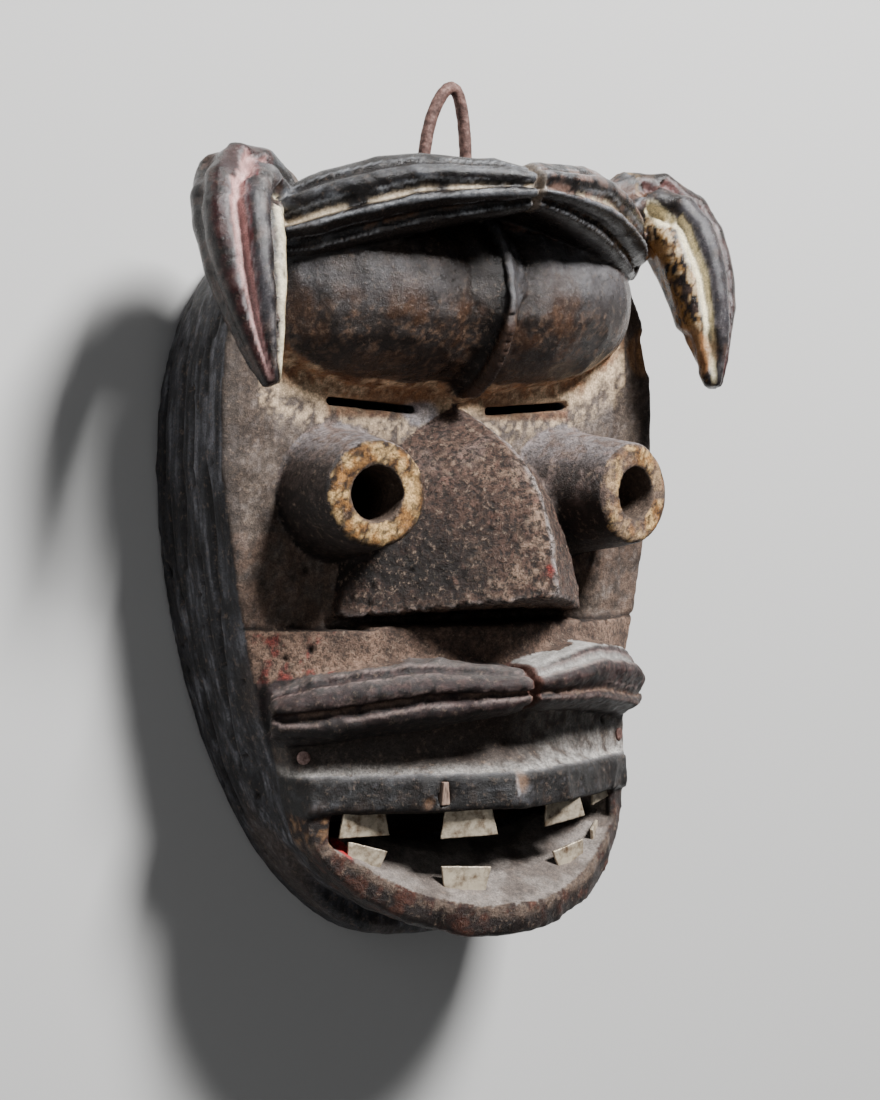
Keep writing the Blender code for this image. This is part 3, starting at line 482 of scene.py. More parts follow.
# The brow's two lobes are parted by a chopped crest with a steep furrow along its left
crest_heights = (212, 224, 236, 244, 252, 262, 272, 284)
crest_left = np.interp(Y, crest_heights, (-3.2, -3.0, -1.8, -0.4, 0.8, 1.0, -0.2, -1.5))
crest_wide = np.interp(Y, (212, 236, 243, 251, 262, 276, 286), (4.0, 5.5, 9.0, 12.0, 11.5, 9.0, 7.0))
from_crest = X - crest_left
on_brow_top = in_brow * (Z > FACE + 8.0)
crest_end = ramp(from_crest, crest_wide - 1.2, crest_wide + 1.6)
crest = ramp(from_crest, -0.8, 0.8) * (1.0 - crest_end) * on_brow_top
furrow = ramp(from_crest, -8.0, -2.2) * (1.0 - ramp(from_crest, -0.9, 0.7)) * on_brow_top
height += 1.2 * crest - 2.2 * furrow
past_crest = from_crest - crest_wide
behind_crest = ramp(past_crest, -1.0, 1.5) * (1.0 - ramp(past_crest, 3.0, 14.0)) * on_brow_top
height -= 0.9 * behind_crest

# The nose's ridge, a little right of the middle
ridge_across = np.interp(Y, (130, 150, 180, 205), (3.2, 2.4, 1.4, 3.5))
nose_ridge = flute(X, ridge_across, 5.0) * on_nose * between(Y, 136.0, 206.0, 6.0)
height += 1.3 * nose_ridge

# Finer roughness, drawn out along the moustache, headband and horns
height += np.where(in_moustache, 0.9 * crust + 0.7 * lengthways, 0.0)
height += np.where(in_band, 0.55 * lengthways, 0.0)
height += np.where(in_horn, 0.30 * crust + 0.45 * (layered(points, (3, 12, 3), 61) - 0.5), 0.0)
height += np.where(on_jaw | on_lip, 0.7 * dents + 0.4 * crust, 0.0)
height += np.where(on_plate, 0.25 * crust, 0.0)
height += np.where(tube_front, 0.8 * (layered(points, (3.2, 3.2, 3.2), 71) - 0.62), 0.0)

# The cheek plate ends in an undercut step beside the nose, cut in as a shallow groove that is later painted
# dark as its shadow
step_line = between(Y, STEP_HEIGHT - 0.9, STEP_HEIGHT + 0.5, 0.5) * (side_out > 48.0) * (Z > FACE - 2.0)
height -= 1.3 * step_line

# Long drying cracks and worm holes in the side walls, and a few worm holes in the face plate
WALL_CRACKS = 34
WORM_HOLES = 46
PLATE_HOLES = ((-78.6, 115.0), (69.0, 124.0), (72.0, 146.0), (-70.5, 118.0), (-66.0, 146.5), (62.5, 86.0))
chance = np.random.default_rng(5)
wall_crack = np.zeros(len(points))
for _ in range(WALL_CRACKS):
    side = chance.choice((-1.0, 1.0))
    start = np.array((chance.uniform(4.0, 48.0), chance.uniform(20.0, 250.0)))
    length = chance.uniform(14.0, 62.0)
    bend = chance.uniform(-0.10, 0.10)
    line = [
        start + np.array((bend * s * length + 0.8 * math.sin(4 * s + length), s * length))
        for s in np.linspace(0, 1, 7)
    ]
    close = 1.0 - ramp(near_line(points[:, (2, 1)], line), 0.35, 1.25)
    wall_crack = np.maximum(wall_crack, close * (X * side > 40.0) * on_wall)
height -= 1.5 * wall_crack
worm_hole = np.zeros(len(points))
for _ in range(WORM_HOLES):
    side = chance.choice((-1.0, 1.0))
    spot = np.array((chance.uniform(3.0, 50.0), chance.uniform(15.0, 265.0)))
    away = np.linalg.norm(points[:, (2, 1)] - spot, axis=1)
    worm_hole = np.maximum(worm_hole, (1.0 - ramp(away, 0.5, 1.4)) * (X * side > 35.0) * on_wall)
for across, up in PLATE_HOLES:
    away = np.hypot(X - across, Y - up)
    worm_hole = np.maximum(worm_hole, (1.0 - ramp(away, 0.6, 1.7)) * (Z > FACE - 1.0) * (normals[:, 2] > 0.3))
height -= 1.9 * worm_hole


def broken(across, up, wide, high, start, end):
    """1 inside a small break and 0 past its edge, seen from the front."""
    return 1.0 - ramp(np.hypot((X - across) / wide, (Y - up) / high), start, end)


# Breaks: the head's edge under the right horn, the left tube's ring, the upper lip and the nose's foot
edge_break = broken(98.5, 231.0, 6.5, 9.0, 0.7, 1.15) * (Z > 40.0) * (side_out < 103.0)
height -= 1.3 * edge_break * (0.6 + 0.8 * mottle(points, (2.5, 6, 2.5), 81))
ring_break = broken(-47.5, 176.0, 4.5, 7.0, 0.6, 1.1) * (Z > EYE_FRONT - 9.0)
height -= 2.0 * ring_break * mottle(points, (2.2, 2.2, 2.2), 82)
lip_chip = broken(-1.0, 69.0, 3.0, 4.5, 0.6, 1.15) * (Z > 92.0)
lip_chip = np.maximum(lip_chip, broken(-35.2, 62.0, 2.0, 2.4, 0.6, 1.2) * (Z > 80.0))
height -= 1.2 * lip_chip
nose_break = between(Y, 126.0, 134.0, 2.0) * on_nose * (layered(points, (3.0, 5, 3.0), 91) > 0.54)
height -= 1.1 * nose_break

# The edges of the slits and the rim that the mask rests on stay as the solid has them
by_slit = between(Y, 201.5, 211.5, 1.5) * between(side_out, 13.0, 60.0, 2.0) * (Z < FACE + 4.0)
height *= 1.0 - by_slit
height = np.where(Z < 1.2, 0.0, settled(height, links, 1)[:, 0])
points = points + normals * height[:, None]
points[:, 2] = np.maximum(points[:, 2], 0.0)
write_points(carving.data, points)
worn_edge = ramp(broad_relief, 0.35, 1.5)
fine_dust = ramp(-narrow_relief, 0.06, 0.35)

# Colour, laid on in the order in which the maker and the years did it
large = layered(points, (30, 34, 30), 101)
middling = layered(points, (9, 11, 9), 111)
small = layered(points, (3.4, 3.8, 3.4), 121)
speck = layered(points, (1.7, 1.7, 1.7), 131, 2)
colour = np.tile(paint(PLATE_GREY), (len(points), 1))
gloss = np.full(len(points), 0.30)


def lay(mask, shade, strength=1.0):
    """Lays a colour over the wood where a mask says."""
    amount = np.clip(np.asarray(mask, float) * strength, 0.0, 1.0)[:, None]
    colour[:] = colour * (1.0 - amount) + paint(shade) * amount


def patch(across, up, wide, high, ragged=0.5):
    """A soft patch with a ragged edge, seen from the front."""
    away = np.hypot((X - across) / wide, (Y - up) / high)
    away = away + ragged * (middling - 0.5) + 0.5 * ragged * (small - 0.5)
    return 1.0 - ramp(away, 0.7, 1.15)


# The face plate, with ochre clay in the crease under the brow
lay(on_plate * ramp(0.5 * middling + 0.5 * large, 0.42, 0.62), PLATE_BROWN, 0.75)
lay(on_plate * ramp(small, 0.46, 0.64), PLATE_BROWN, 0.35)
lay(on_plate * ramp(speck, 0.54, 0.7), BROW_BLACK, 0.4)
lay(on_plate * ramp(speck, 0.46, 0.3), NOSE_PALE, 0.15)
lay(on_plate * (side_out > 94.0), BROW_BLACK, 0.45)
fleck = 0.5 * small + 0.5 * speck
lay(on_plate * ramp(Y, 190.0, 205.0) * (side_out < 80.0) * ramp(fleck, 0.42, 0.58), NOSE_PALE, 0.22)
brow_low = 214.0 + np.where(X > 0, 20.9, 10.4) * np.clip(side_out / 84.3, 0, 1) ** 3.5
crease = (on_plate | (in_brow & (Z < FACE + 9.0))) * (side_out < 86.0)
from_brow = Y - brow_low + 7.0 * (middling - 0.5) + 5.0 * (small - 0.5)
lay(crease * between(from_brow, -9.0, 5.0, 3.0), CREASE_OCHRE, 0.92)
lay(crease * between(from_brow, -4.5, 8.0, 2.0) * ramp(small, 0.38, 0.54), CREASE_ORANGE, 0.85)
lay(crease * between(from_brow, 3.0, 12.0, 2.5) * ramp(speck, 0.40, 0.58), CREASE_RUST, 0.6)
lay(crease * between(from_brow, -19.0, 0.0, 4.0) * ramp(fleck, 0.47, 0.56), CREASE_OCHRE, 0.6)
lay(crease * between(from_brow, -6.0, 1.0, 2.0) * ramp(speck, 0.5, 0.62), CREASE_DARK, 0.6)
lay(on_plate * patch(-24.0, 211.0, 17.0, 4.0), CREASE_ORANGE, 0.6)
slit_lip = between(Y, 203.4, 209.6, 0.8) * between(side_out, 15.0, 57.0, 1.5)
slit_lip = slit_lip * (Z < FACE + 4.0) * (Z > FACE - 12.0)
lay(slit_lip * ramp(small, 0.25, 0.5), SLIT_BROWN, 0.7)
lay(on_plate * patch(-15.0, 205.0, 9.0, 5.0), SLIT_PALE, 0.8)
lay(on_plate * (Y < 160.0) * ramp(small, 0.35, 0.6), CHEEK_PINK, 0.35)

# The brow, black and polished, with brown wear low down, a painted sheen that makes its top paler, and
# painted shade and light about the crest
lay(in_brow & (Z >= FACE + 10.0), BROW_BLACK)
# A painted sheen: lighter grey over the top of the brow, where the light catches it
brow_painted_sheen = in_brow * (Z > FACE + 8.0) * ramp(Y, 236.0, 258.0) * ramp(large, 0.30, 0.62)
lay(brow_painted_sheen, BROW_GREY, 0.45)
lay(in_brow * ramp(middling, 0.5, 0.68) * (Z > FACE + 8.0), PLATE_BROWN, 0.5)
lay(in_brow * ramp(0.6 * middling + 0.4 * small, 0.48, 0.64) * between(Y, 208.0, 248.0, 8.0), BROW_BROWN, 0.7)
lay(in_brow * ramp(speck, 0.56, 0.72) * between(Y, 208.0, 244.0, 8.0), BROW_FLECK, 0.45)
lay(in_brow * ramp(worn_edge, 0.3, 1.2), BROW_GREY, 0.3)
# Painted shade: near black in the furrow along the crest's left flank
lay(furrow, FURROW_PAINTED_SHADE, 0.95)
# Painted shadow: a dark band just past the crest's right side
lay(behind_crest, CREST_PAINTED_SHADOW, 0.6)
# Painted light: blue-grey on the crest's upper facets, as if lit
lay(crest * ramp(Y, 240.0, 250.0), CREST_PAINTED_LIGHT, 0.7)
lay(crest * ramp(Y, 240.0, 250.0) * ramp(small, 0.5, 0.62), BROW_BLACK, 0.7)
lay(crest * ramp(240.0 - Y, -4.0, 6.0), BROW_BROWN, 0.6)

# The nose, thickly crusted, darker to its foot, paler on its worn edges, with painted light on its upper part
# and a painted highlight along the ridge
lay(on_nose, NOSE_PINK)
nose_crust = ramp(0.4 * middling + 0.6 * small, 0.42, 0.64) * (0.35 + 0.65 * ramp(180.0 - Y, -6.0, 34.0))
lay(on_nose * nose_crust, NOSE_BLACK, 0.75)
lay(on_nose * ramp(speck, 0.5, 0.7), NOSE_BLACK, 0.5)
lay(on_nose * ramp(speck, 0.5, 0.3) * ramp(middling, 0.5, 0.65), NOSE_CLAY, 0.45)
granular = on_nose * ramp(large, 0.42, 0.58) * between(X, -22.0, 4.0, 8.0) * between(Y, 138.0, 188.0, 10.0)
lay(granular * ramp(grains, 0.42, 0.6), NOSE_GRAIN, 0.75)
lay(on_nose * ramp(-X, 10.0, 30.0) * ramp(172.0 - Y, -4.0, 20.0) * ramp(small, 0.22, 0.46), NOSE_BLACK, 0.85)
# Painted light: the upper part of the nose made paler
lay(on_nose * ramp(180.0 - Y, 8.0, -14.0) * ramp(middling, 0.4, 0.6), NOSE_PAINTED_LIGHT, 0.5)
lay(on_nose * ramp(worn_edge, 0.3, 0.9) * ramp(small, 0.3, 0.55), NOSE_PALE, 0.7)
lay(on_nose * between(Y, 126.0, 137.0, 3.0) * ramp(small, 0.3, 0.6), NOSE_PINK, 0.7)
lay(on_nose * nose_break, CHEEK_PINK, 0.6)
# A painted highlight: a pale line along the nose's ridge
lay(ramp(nose_ridge, 0.72, 0.95) * ramp(small, 0.2, 0.45), NOSE_PALE, 0.9)
lay(on_nose * patch(0.2, 146.1, 2.2, 2.4, 1.2), RED_PAINT, 0.7)

# The eye tubes: daubed sides with painted shade low down and on the left tube's outer side and painted light
# on top, and a worn front of bare wood
lay(on_tube, TUBE_PINK)
lay(on_tube * ramp(0.6 * small + 0.4 * middling, 0.44, 0.54), TUBE_DARK, 0.75)
# Painted shade on the tubes' lower halves, painted light on their tops and painted shade on the left tube's
# outer side
lay(on_tube * ramp(EYE_HEIGHT - Y, -6.0, 10.0), TUBE_DARK, 0.85)
lay(on_tube * ramp(Y - EYE_HEIGHT, 8.0, 18.0) * ramp(small, 0.32, 0.5), TUBE_PAINTED_LIGHT, 0.6)
lay(on_tube * (X < 0) * ramp(-X, 62.0, 80.0), TUBE_DARK, 0.55)
lay(tube_front, TUBE_RAW)
lay(tube_front * ramp(small, 0.42, 0.56), TUBE_OCHRE, 0.9)
lay(tube_front * ramp(speck, 0.56, 0.64), TUBE_DARK, 0.85)
lay(tube_front * ramp(from_eye, 16.6, 18.6) * ramp(small, 0.3, 0.5), TUBE_DARK, 0.85)
lay(tube_front * ramp(12.0 - from_eye, -0.6, 1.6) * ramp(small, 0.35, 0.55), TUBE_DARK, 0.7)
lay(tube_front * ramp(fine_dust, 0.2, 0.8), TUBE_OCHRE, 0.5)
ray = np.degrees(np.arctan2(Y - EYE_HEIGHT, splay))
crack_angles = (-160.0, -118.0, -62.0, -20.0, 12.0, 48.0, 95.0, 140.0)
crack_ends = (15.0, 18.0, 14.0, 17.5, 19.0, 15.0, 17.0, 19.0)
RADIANS_PER_DEGREE = 0.0175
for angle, far in zip(crack_angles, crack_ends):
    off_ray = np.abs((ray - angle + 180.0 + 9.0 * np.sign(X)) % 360.0 - 180.0) * from_eye * RADIANS_PER_DEGREE
    lay(tube_front * (1.0 - ramp(off_ray, 0.25, 1.0)) * (from_eye < far), TUBE_CRACK, 0.75)
lay(tube_front * (X > 0) * ramp(middling, 0.4, 0.6), TUBE_PINK, 0.6)
lay(ring_break * ramp(small, 0.3, 0.5), TUBE_RAW, 0.95)
lay(in_bore, BORE_DARK)

# The cheeks over the moustache, with traces of red and painted shade towards the middle
lay(on_cheek, CHEEK_PINK)
lay(on_cheek * ramp(middling, 0.42, 0.62), CHEEK_DARK, 0.6)
lay(on_cheek * ramp(small, 0.5, 0.68), CHEEK_DARK, 0.6)
# Painted shade: the cheeks darkened towards the middle, under the nose
lay(on_cheek * ramp(60.0 - side_out, 0.0, 30.0), CHEEK_DARK, 0.55)
lay(on_cheek * ramp(small, 0.57, 0.68) * (X < -62.0) * ramp(speck, 0.35, 0.55), RED_PAINT, 0.6)

# The moustache: rough, grey and dark, with painted shade low down, dusty on top and in its flutes, and worn
# flute edges lightened as painted highlights
lay(in_moustache, MOUSTACHE_GREY)
lay(in_moustache * ramp(small, 0.46, 0.66), MOUSTACHE_DARK, 0.75)
lay(in_moustache * ramp(lengthways, 0.02, 0.18), MOUSTACHE_DARK, 0.45)
lay(in_moustache * ramp(speck, 0.56, 0.68), MOUSTACHE_FLECK, 0.4)
# Painted shade: the moustache darkened along its lower side
lay(in_moustache * ramp(MOUSTACHE_MIDDLE - 6.0 - Y, -4.0, 7.0), MOUSTACHE_DARK, 0.65)
lay(ramp(moustache_cut, 0.45, 0.9) * ramp(small, 0.3, 0.6), CHEEK_PINK, 0.6)
lay(in_moustache * ramp(normals[:, 1], 0.6, 0.95) * np.where(X > 0, 1.0, 0.2), DUST_WHITE, 0.6)
lay(in_moustache * ramp(worn_edge, 0.5, 1.2), MOUSTACHE_WORN, 0.25)
# Worn edges and painted highlights: light lines along the shoulders of the moustache's flutes
for centre, reach_of_edge in ((-10.0, 13.5), (46.0, 10.5)):
    shoulder = np.abs(np.abs(moustache_angle - centre) - reach_of_edge)
    lay(in_moustache * (1.0 - ramp(shoulder, 0.8, 3.0)) * ramp(middling, 0.30, 0.55), MOUSTACHE_EDGE_WEAR_AND_HIGHLIGHT, 0.5)
lay(in_moustache * (side_out < 2.6) * (Z < moustache_front + 4), MOUSTACHE_NOTCH, 0.5)

# The lips: a dark scuffed band under a dusty slope that carries painted shadow under the moustache, a floor
# grey with dust and a worn red rim
lay(on_lip_top, LIP_DUST)
lay(on_lip_top * ramp(middling, 0.45, 0.65), PLATE_BROWN, 0.55)
# Painted shadow: the slope darkened just under the moustache
lay(on_lip_top * ramp(Y, 79.0, 92.0), CHEEK_DARK, 0.6)
lay(on_lip_top * ramp(75.5 - Y, -2.0, 3.0) * ramp(small, 0.2, 0.5), DUST_WHITE, 0.5)
lay(on_lip_top * ramp(X, -5.0, 30.0) * ramp(small, 0.25, 0.6), DUST_WHITE, 0.3)
lay(on_lip, LIP_GREY)
lay(on_lip * ramp(small, 0.46, 0.62), JAW_BLACK, 0.7)
lay(on_lip * ramp(small, 0.54, 0.70) * ramp(67.0 - Y, -3.0, 6.0), PLATE_BROWN, 0.5)
lay(on_lip * patch(-3.2, 67.5, 0.9, 4.0, 0.3), LIP_MARK, 0.6)
lay(on_lip * patch(3.0, 66.0, 2.8, 6.0, 0.3), JAW_BLACK, 0.5)
lay(on_lip * ramp(Y, 71.0, 72.6), LIP_SCUFF, 0.7)
scuffs = layered(points, (12.0, 1.8, 6.0), 151)
lay(on_lip * ramp(scuffs, 0.60, 0.68) * ramp(speck, 0.4, 0.6), LIP_SCRATCH, 0.35)
lay(lip_chip * ramp(small, 0.3, 0.5), LIP_BARE, 0.5)
lay(in_mouth, MOUTH_GREY)
lay(in_mouth * ramp(middling, 0.42, 0.66), CHEEK_DARK, 0.55)
lay(in_mouth & (Y > 57.5), JAW_BLACK)
lay(on_jaw, JAW_RED)
lay(on_jaw * ramp(small + 0.06 * ramp(X, -50.0, -10.0), 0.40, 0.54), JAW_BLACK, 0.9)
lay(on_jaw * ramp(middling + 0.1 * ramp(X, -50.0, -10.0), 0.48, 0.62), JAW_BLACK, 0.7)
lay(on_jaw * between(Y - mouth_rim, -3.4, 1.0, 1.2) * ramp(small, 0.36, 0.58), JAW_TAN, 0.4)
lay(on_jaw * (X < -58.0) * (Y > 47.0) * ramp(speck, 0.55, 0.65), RAW_WOOD, 0.55)
lay((on_jaw | in_mouth) * patch(-59.4, 45.5, 3.0, 3.6, 0.5), MOUTH_RED, 0.9)

# The headband: black and polished, clay in its long flute, more worn on the right, with painted shade on its
# underside and painted highlights on its worn flute edges
lay(in_band, BAND_BLACK)
lay(in_band * ramp(lengthways, 0.0, 0.2) * ramp(middling, 0.35, 0.6), BAND_GREY, 0.65)
lay(in_band * flute(band_angle, 8.0, 5.0) * ramp(middling, 0.30, 0.55), BAND_DUST, 1.1)
lay(in_band * flute(band_angle, -34.0, 4.0) * ramp(small, 0.35, 0.6) * (X > -60.0), BAND_CLAY, 0.7)
band_rub_and_highlight = in_band * ramp(X, 0.5, 4.0) * ramp(small, 0.40, 0.62)
lay(band_rub_and_highlight * ramp(normals[:, 1], -0.3, 0.2) * ramp(normals[:, 2], 0.15, 0.5), BAND_PINK, 0.7)
lay(in_band * ramp(worn_edge, 0.3, 1.0), BAND_WORN, 0.5)
# Painted shade: the headband's downward-facing underside darkened
lay(in_band * ramp(-normals[:, 1], 0.35, 0.7), BAND_PAINTED_SHADE, 0.85)
lay(in_band * (side_out < 2.2), BAND_NOTCH, 0.6)
# Worn edges and painted highlights: light lines along the upward-facing shoulders of the headband's flutes
for centre, reach_of_edge in ((8.0, 11.5), (-34.0, 11.5), (52.0, 9.5)):
    shoulder = np.abs(np.abs(band_angle - centre) - reach_of_edge)
    band_rub_and_highlight = in_band * (1.0 - ramp(shoulder, 0.6, 2.4)) * ramp(middling, 0.28, 0.5)
    lay(band_rub_and_highlight * ramp(normals[:, 2], 0.0, 0.3), BAND_EDGE_WEAR_AND_HIGHLIGHT, 0.42)

# The horns: clay in the flutes, red and black between them, a painted sheen on the left horn's lobe and worn
# flute edges lightened as painted highlights
ragged = horn_turn + 7.0 * (middling - 0.5) + 6.0 * (small - 0.5)
left_horn = in_horn & (X < 0)
right_horn = in_horn & (X > 0)
lay(in_horn, HORN_BLACK)
lay(in_horn * ramp(small, 0.45, 0.65), HORN_BROWN, 0.6)
lay(left_horn * between(ragged, 46.0, 70.0, 5.0) * ramp(small, 0.25, 0.5), HORN_RED, 0.75)
lay(left_horn * between(ragged, 22.0, 46.0, 3.0) * ramp(horn_run, 0.22, 0.42), HORN_PINK, 0.9)
lay(left_horn * between(ragged, 26.0, 42.0, 3.0) * ramp(0.36 - horn_run, -0.06, 0.1), HORN_PINK, 0.7)
lay(left_horn * between(ragged, 18.0, 24.0, 1.5), HORN_CRIMSON, 0.9)
lay(left_horn * between(ragged, -18.0, 20.0, 6.0) * ramp(middling, 0.3, 0.6), HORN_GREY, 0.85)
# A painted sheen: a light line along the middle of the left horn's dark lobe
lay(left_horn * between(ragged, -3.0, 4.0, 3.0) * ramp(small, 0.35, 0.6), HORN_PAINTED_SHEEN, 0.5)
lay(left_horn * between(ragged, -62.0, -44.0, 2.5) * ramp(small, 0.15, 0.35), HORN_CREAM, 0.95)
lay(left_horn * between(ragged, -74.0, -58.0, 4.0) * ramp(small, 0.4, 0.6), HORN_OCHRE, 0.7)
flaking = 0.55 * layered(points, (2.2, 9.0, 3.0), 141) + 0.45 * speck
lay(right_horn * between(ragged, -120.0, -44.0, 6.0) * ramp(flaking, 0.47, 0.53), HORN_OCHRE, 0.85)
lay(right_horn * between(ragged, -70.0, -50.0, 5.0) * ramp(flaking, 0.5, 0.6), HORN_CREAM, 0.5)
lay(right_horn * between(ragged, -48.0, -21.0, 3.0) * ramp(small, 0.12, 0.3), HORN_IVORY, 0.95)
lay(right_horn * between(ragged, -20.0, 16.0, 6.0) * ramp(middling, 0.35, 0.6), HORN_GREY, 0.85)
lay(right_horn * between(ragged, 26.0, 44.0, 4.0) * ramp(small, 0.2, 0.4), HORN_MAUVE, 0.85)
lay(right_horn * between(ragged, 44.0, 56.0, 3.0) * ramp(small, 0.3, 0.5), HORN_RED, 0.5)
right_root = in_horn * ramp(0.30 - horn_run, 0.0, 0.12) * (Y > 288.0) * (X > 0)
lay(right_root * ramp(small, 0.36, 0.52), TUBE_RAW, 0.9)
# Worn edges and painted highlights: light lines along the shoulders of the horns' flutes
for centre in (35.0, -33.0):
    shoulder = np.abs(np.abs(horn_angle - centre) - horn_width - 2.5)
    horn_wear_and_highlight = in_horn * (1.0 - ramp(shoulder, 0.8, 2.6)) * ramp(middling, 0.28, 0.5)
    lay(horn_wear_and_highlight * ramp(0.92 - horn_run, 0.0, 0.1), HORN_EDGE_WEAR_AND_HIGHLIGHT, 0.4)
lay(in_horn * ramp(horn_run, 0.90, 0.99), HORN_BLACK, 0.7)
right_back = right_horn * ramp(78.0 - Z, -4.0, 8.0) * ramp(275.0 - Y, -4.0, 9.0)
lay(right_back * ramp(small, 0.42, 0.55), RAW_WOOD, 0.7)

# The side walls: weathered blue-grey with dark streaks, then the plain hollow
lay(on_wall, WALL_GREY)
lay(on_wall * ramp(fibre, 0.0, 0.16), WALL_DARK, 0.8)
lay(on_wall * ramp(-fibre, 0.05, 0.2), WALL_PALE, 0.55)
lay(on_wall * ramp(middling, 0.5, 0.7), WALL_DARK, 0.55)
lay(on_wall * ramp(large, 0.52, 0.7) * (Y < 120.0), WALL_BROWN, 0.6)
lay(wall_crack, WALL_CRACK, 0.9)
lay(worm_hole, WORM_DARK, 0.95)
from_break = np.hypot((X - 95.0) / 7.0, (Y - 231.0) / 10.0) + 0.5 * (small - 0.5)
bare_edge = (1.0 - ramp(from_break, 0.7, 1.1)) * ramp(Z + 6.0 * (small - 0.5), 43.0, 50.0)
lay(bare_edge, RAW_WOOD, 0.9)
lay(bare_edge * ramp(fibre, 0.0, 0.12), RAW_DARK, 0.7)
# Painted shadow: a thin dark line along the step beside the nose
lay(step_line, STEP_PAINTED_SHADOW, 0.9)
lay(in_hollow, HOLLOW_BROWN)
lay(in_hollow * ramp(fibre, -0.05, 0.15), HOLLOW_DARK, 0.7)
lay(in_hollow * ramp(middling, 0.45, 0.65), HOLLOW_PALE, 0.5)

# How polished each part is, how thickly it is crusted and how much its grain shows
gloss[in_brow] = 0.72
gloss[in_band | in_horn] = 0.80
gloss[on_lip | on_jaw] = 0.58
gloss[in_moustache] = 0.46
gloss[on_wall] = 0.40
gloss[on_cheek | on_plate | in_mouth] = 0.22
gloss[on_nose] = 0.42
gloss[on_tube] = 0.5
gloss[in_hollow | tube_front] = 0.12
gloss = gloss * (1.0 - 0.5 * np.clip(fine_dust, 0, 1)) * (0.75 + 0.5 * middling)
crustiness = np.full(len(points), 0.5)
crustiness[on_nose] = 1.0
crustiness[on_cheek] = 0.75
crustiness[in_moustache] = 0.3
crustiness[on_jaw] = 0.5
crustiness[on_plate] = 0.42
crustiness[on_tube] = 0.6
crustiness[in_brow | on_lip] = 0.28
crustiness[in_band | in_horn] = 0.16
crustiness[in_mouth] = 0.3
crustiness[on_wall | in_hollow] = 0.42
along_grain = np.where(on_wall | in_hollow, 1.0, 0.12)


def mark(mesh, name, kind, values):
    """Writes values for each point into an attribute of the mesh."""
    layer = mesh.attributes.new(name, kind, "POINT")
    layer.data.foreach_set("color" if kind == "FLOAT_COLOR" else "value", values.astype(np.float32).ravel())


mark(carving.data, "patina", "FLOAT_COLOR", np.column_stack((np.clip(colour, 0, 1), np.ones(len(points)))))
mark(carving.data, "gloss", "FLOAT", gloss)
mark(carving.data, "crust", "FLOAT", crustiness)
mark(carving.data, "grain", "FLOAT", along_grain)


def new_material(name):
    """A material with its shader, a function that adds nodes and one that links sockets."""
    material = bpy.data.materials.new(name)
    material.use_nodes = True
    tree = material.node_tree
    shader = tree.nodes["Principled BSDF"]

    def add(kind, **inputs):
        node = tree.nodes.new(kind)
        for key, value in inputs.items():
            if key in node.inputs:
                node.inputs[key].default_value = value
            else:
                setattr(node, key, value)
        return node

    return material, shader, add, tree.links.new


def noise_of(add, link, source, scale, detail=4.0, rough=0.6, stretch=(1, 1, 1)):
    """Noise on object coordinates, stretched along the axes."""
    mapping = add("ShaderNodeMapping")
    mapping.inputs["Scale"].default_value = stretch
    link(source, mapping.inputs["Vector"])
    noise = add("ShaderNodeTexNoise", Scale=scale, Detail=detail, Roughness=rough)
    link(mapping.outputs["Vector"], noise.inputs["Vector"])
    return noise.outputs["Fac"]


def remapped(add, link, source, low, high, to_low, to_high):
    """A value moved from one range to another, held within it."""
    node = add("ShaderNodeMapRange")
    for name, value in (("From Min", low), ("From Max", high), ("To Min", to_low), ("To Max", to_high)):
        node.inputs[name].default_value = value
    link(source, node.inputs["Value"])
    return node.outputs["Result"]


def bumped(add, link, shader, source, strength, distance):
    """Makes a surface look raised where a source is high, by a distance in metres."""
    bump = add("ShaderNodeBump", Strength=strength, Distance=distance)
    link(source, bump.inputs["Height"])
    link(bump.outputs["Normal"], shader.inputs["Normal"])


SCAB_BROWN = (0.016, 0.012, 0.010)
CLAY_PALE = (0.36, 0.255, 0.185)
wood, shader, add, link = new_material("blackened_wood_patina")
coordinates = add("ShaderNodeTexCoord").outputs["Object"]
patina = add("ShaderNodeAttribute", attribute_name="patina")
gloss_mark = add("ShaderNodeAttribute", attribute_name="gloss")
crust_mark = add("ShaderNodeAttribute", attribute_name="crust")
grain_mark = add("ShaderNodeAttribute", attribute_name="grain")
grain = noise_of(add, link, coordinates, 900.0, 6.0, 0.65, (1.0, 0.10, 1.0))
grit = noise_of(add, link, coordinates, 1500.0, 5.0, 0.7)
smudge = noise_of(add, link, coordinates, 210.0, 5.0, 0.65)
scab = noise_of(add, link, coordinates, 560.0, 8.0, 0.74)
clay = noise_of(add, link, coordinates, 430.0, 8.0, 0.78, (1.0, 0.93, 1.07))


def combined(operation, first, second, third=None):
    """One maths node with its two or three inputs linked or set."""
    node = add("ShaderNodeMath", operation=operation)
    for socket, value in zip(node.inputs, (first, second, third)):
        if isinstance(value, float):
            socket.default_value = value
        elif value is not None:
            link(value, socket)
    return node.outputs[0]


def stained(base, stain, amount):
    """A colour mixed towards a stain by an amount that varies over the surface."""
    node = add("ShaderNodeMix", data_type="RGBA")
    link(amount, node.inputs["Factor"])
    link(base, node.inputs["A"])
    node.inputs["B"].default_value = (*stain, 1.0)
    return node.outputs["Result"]


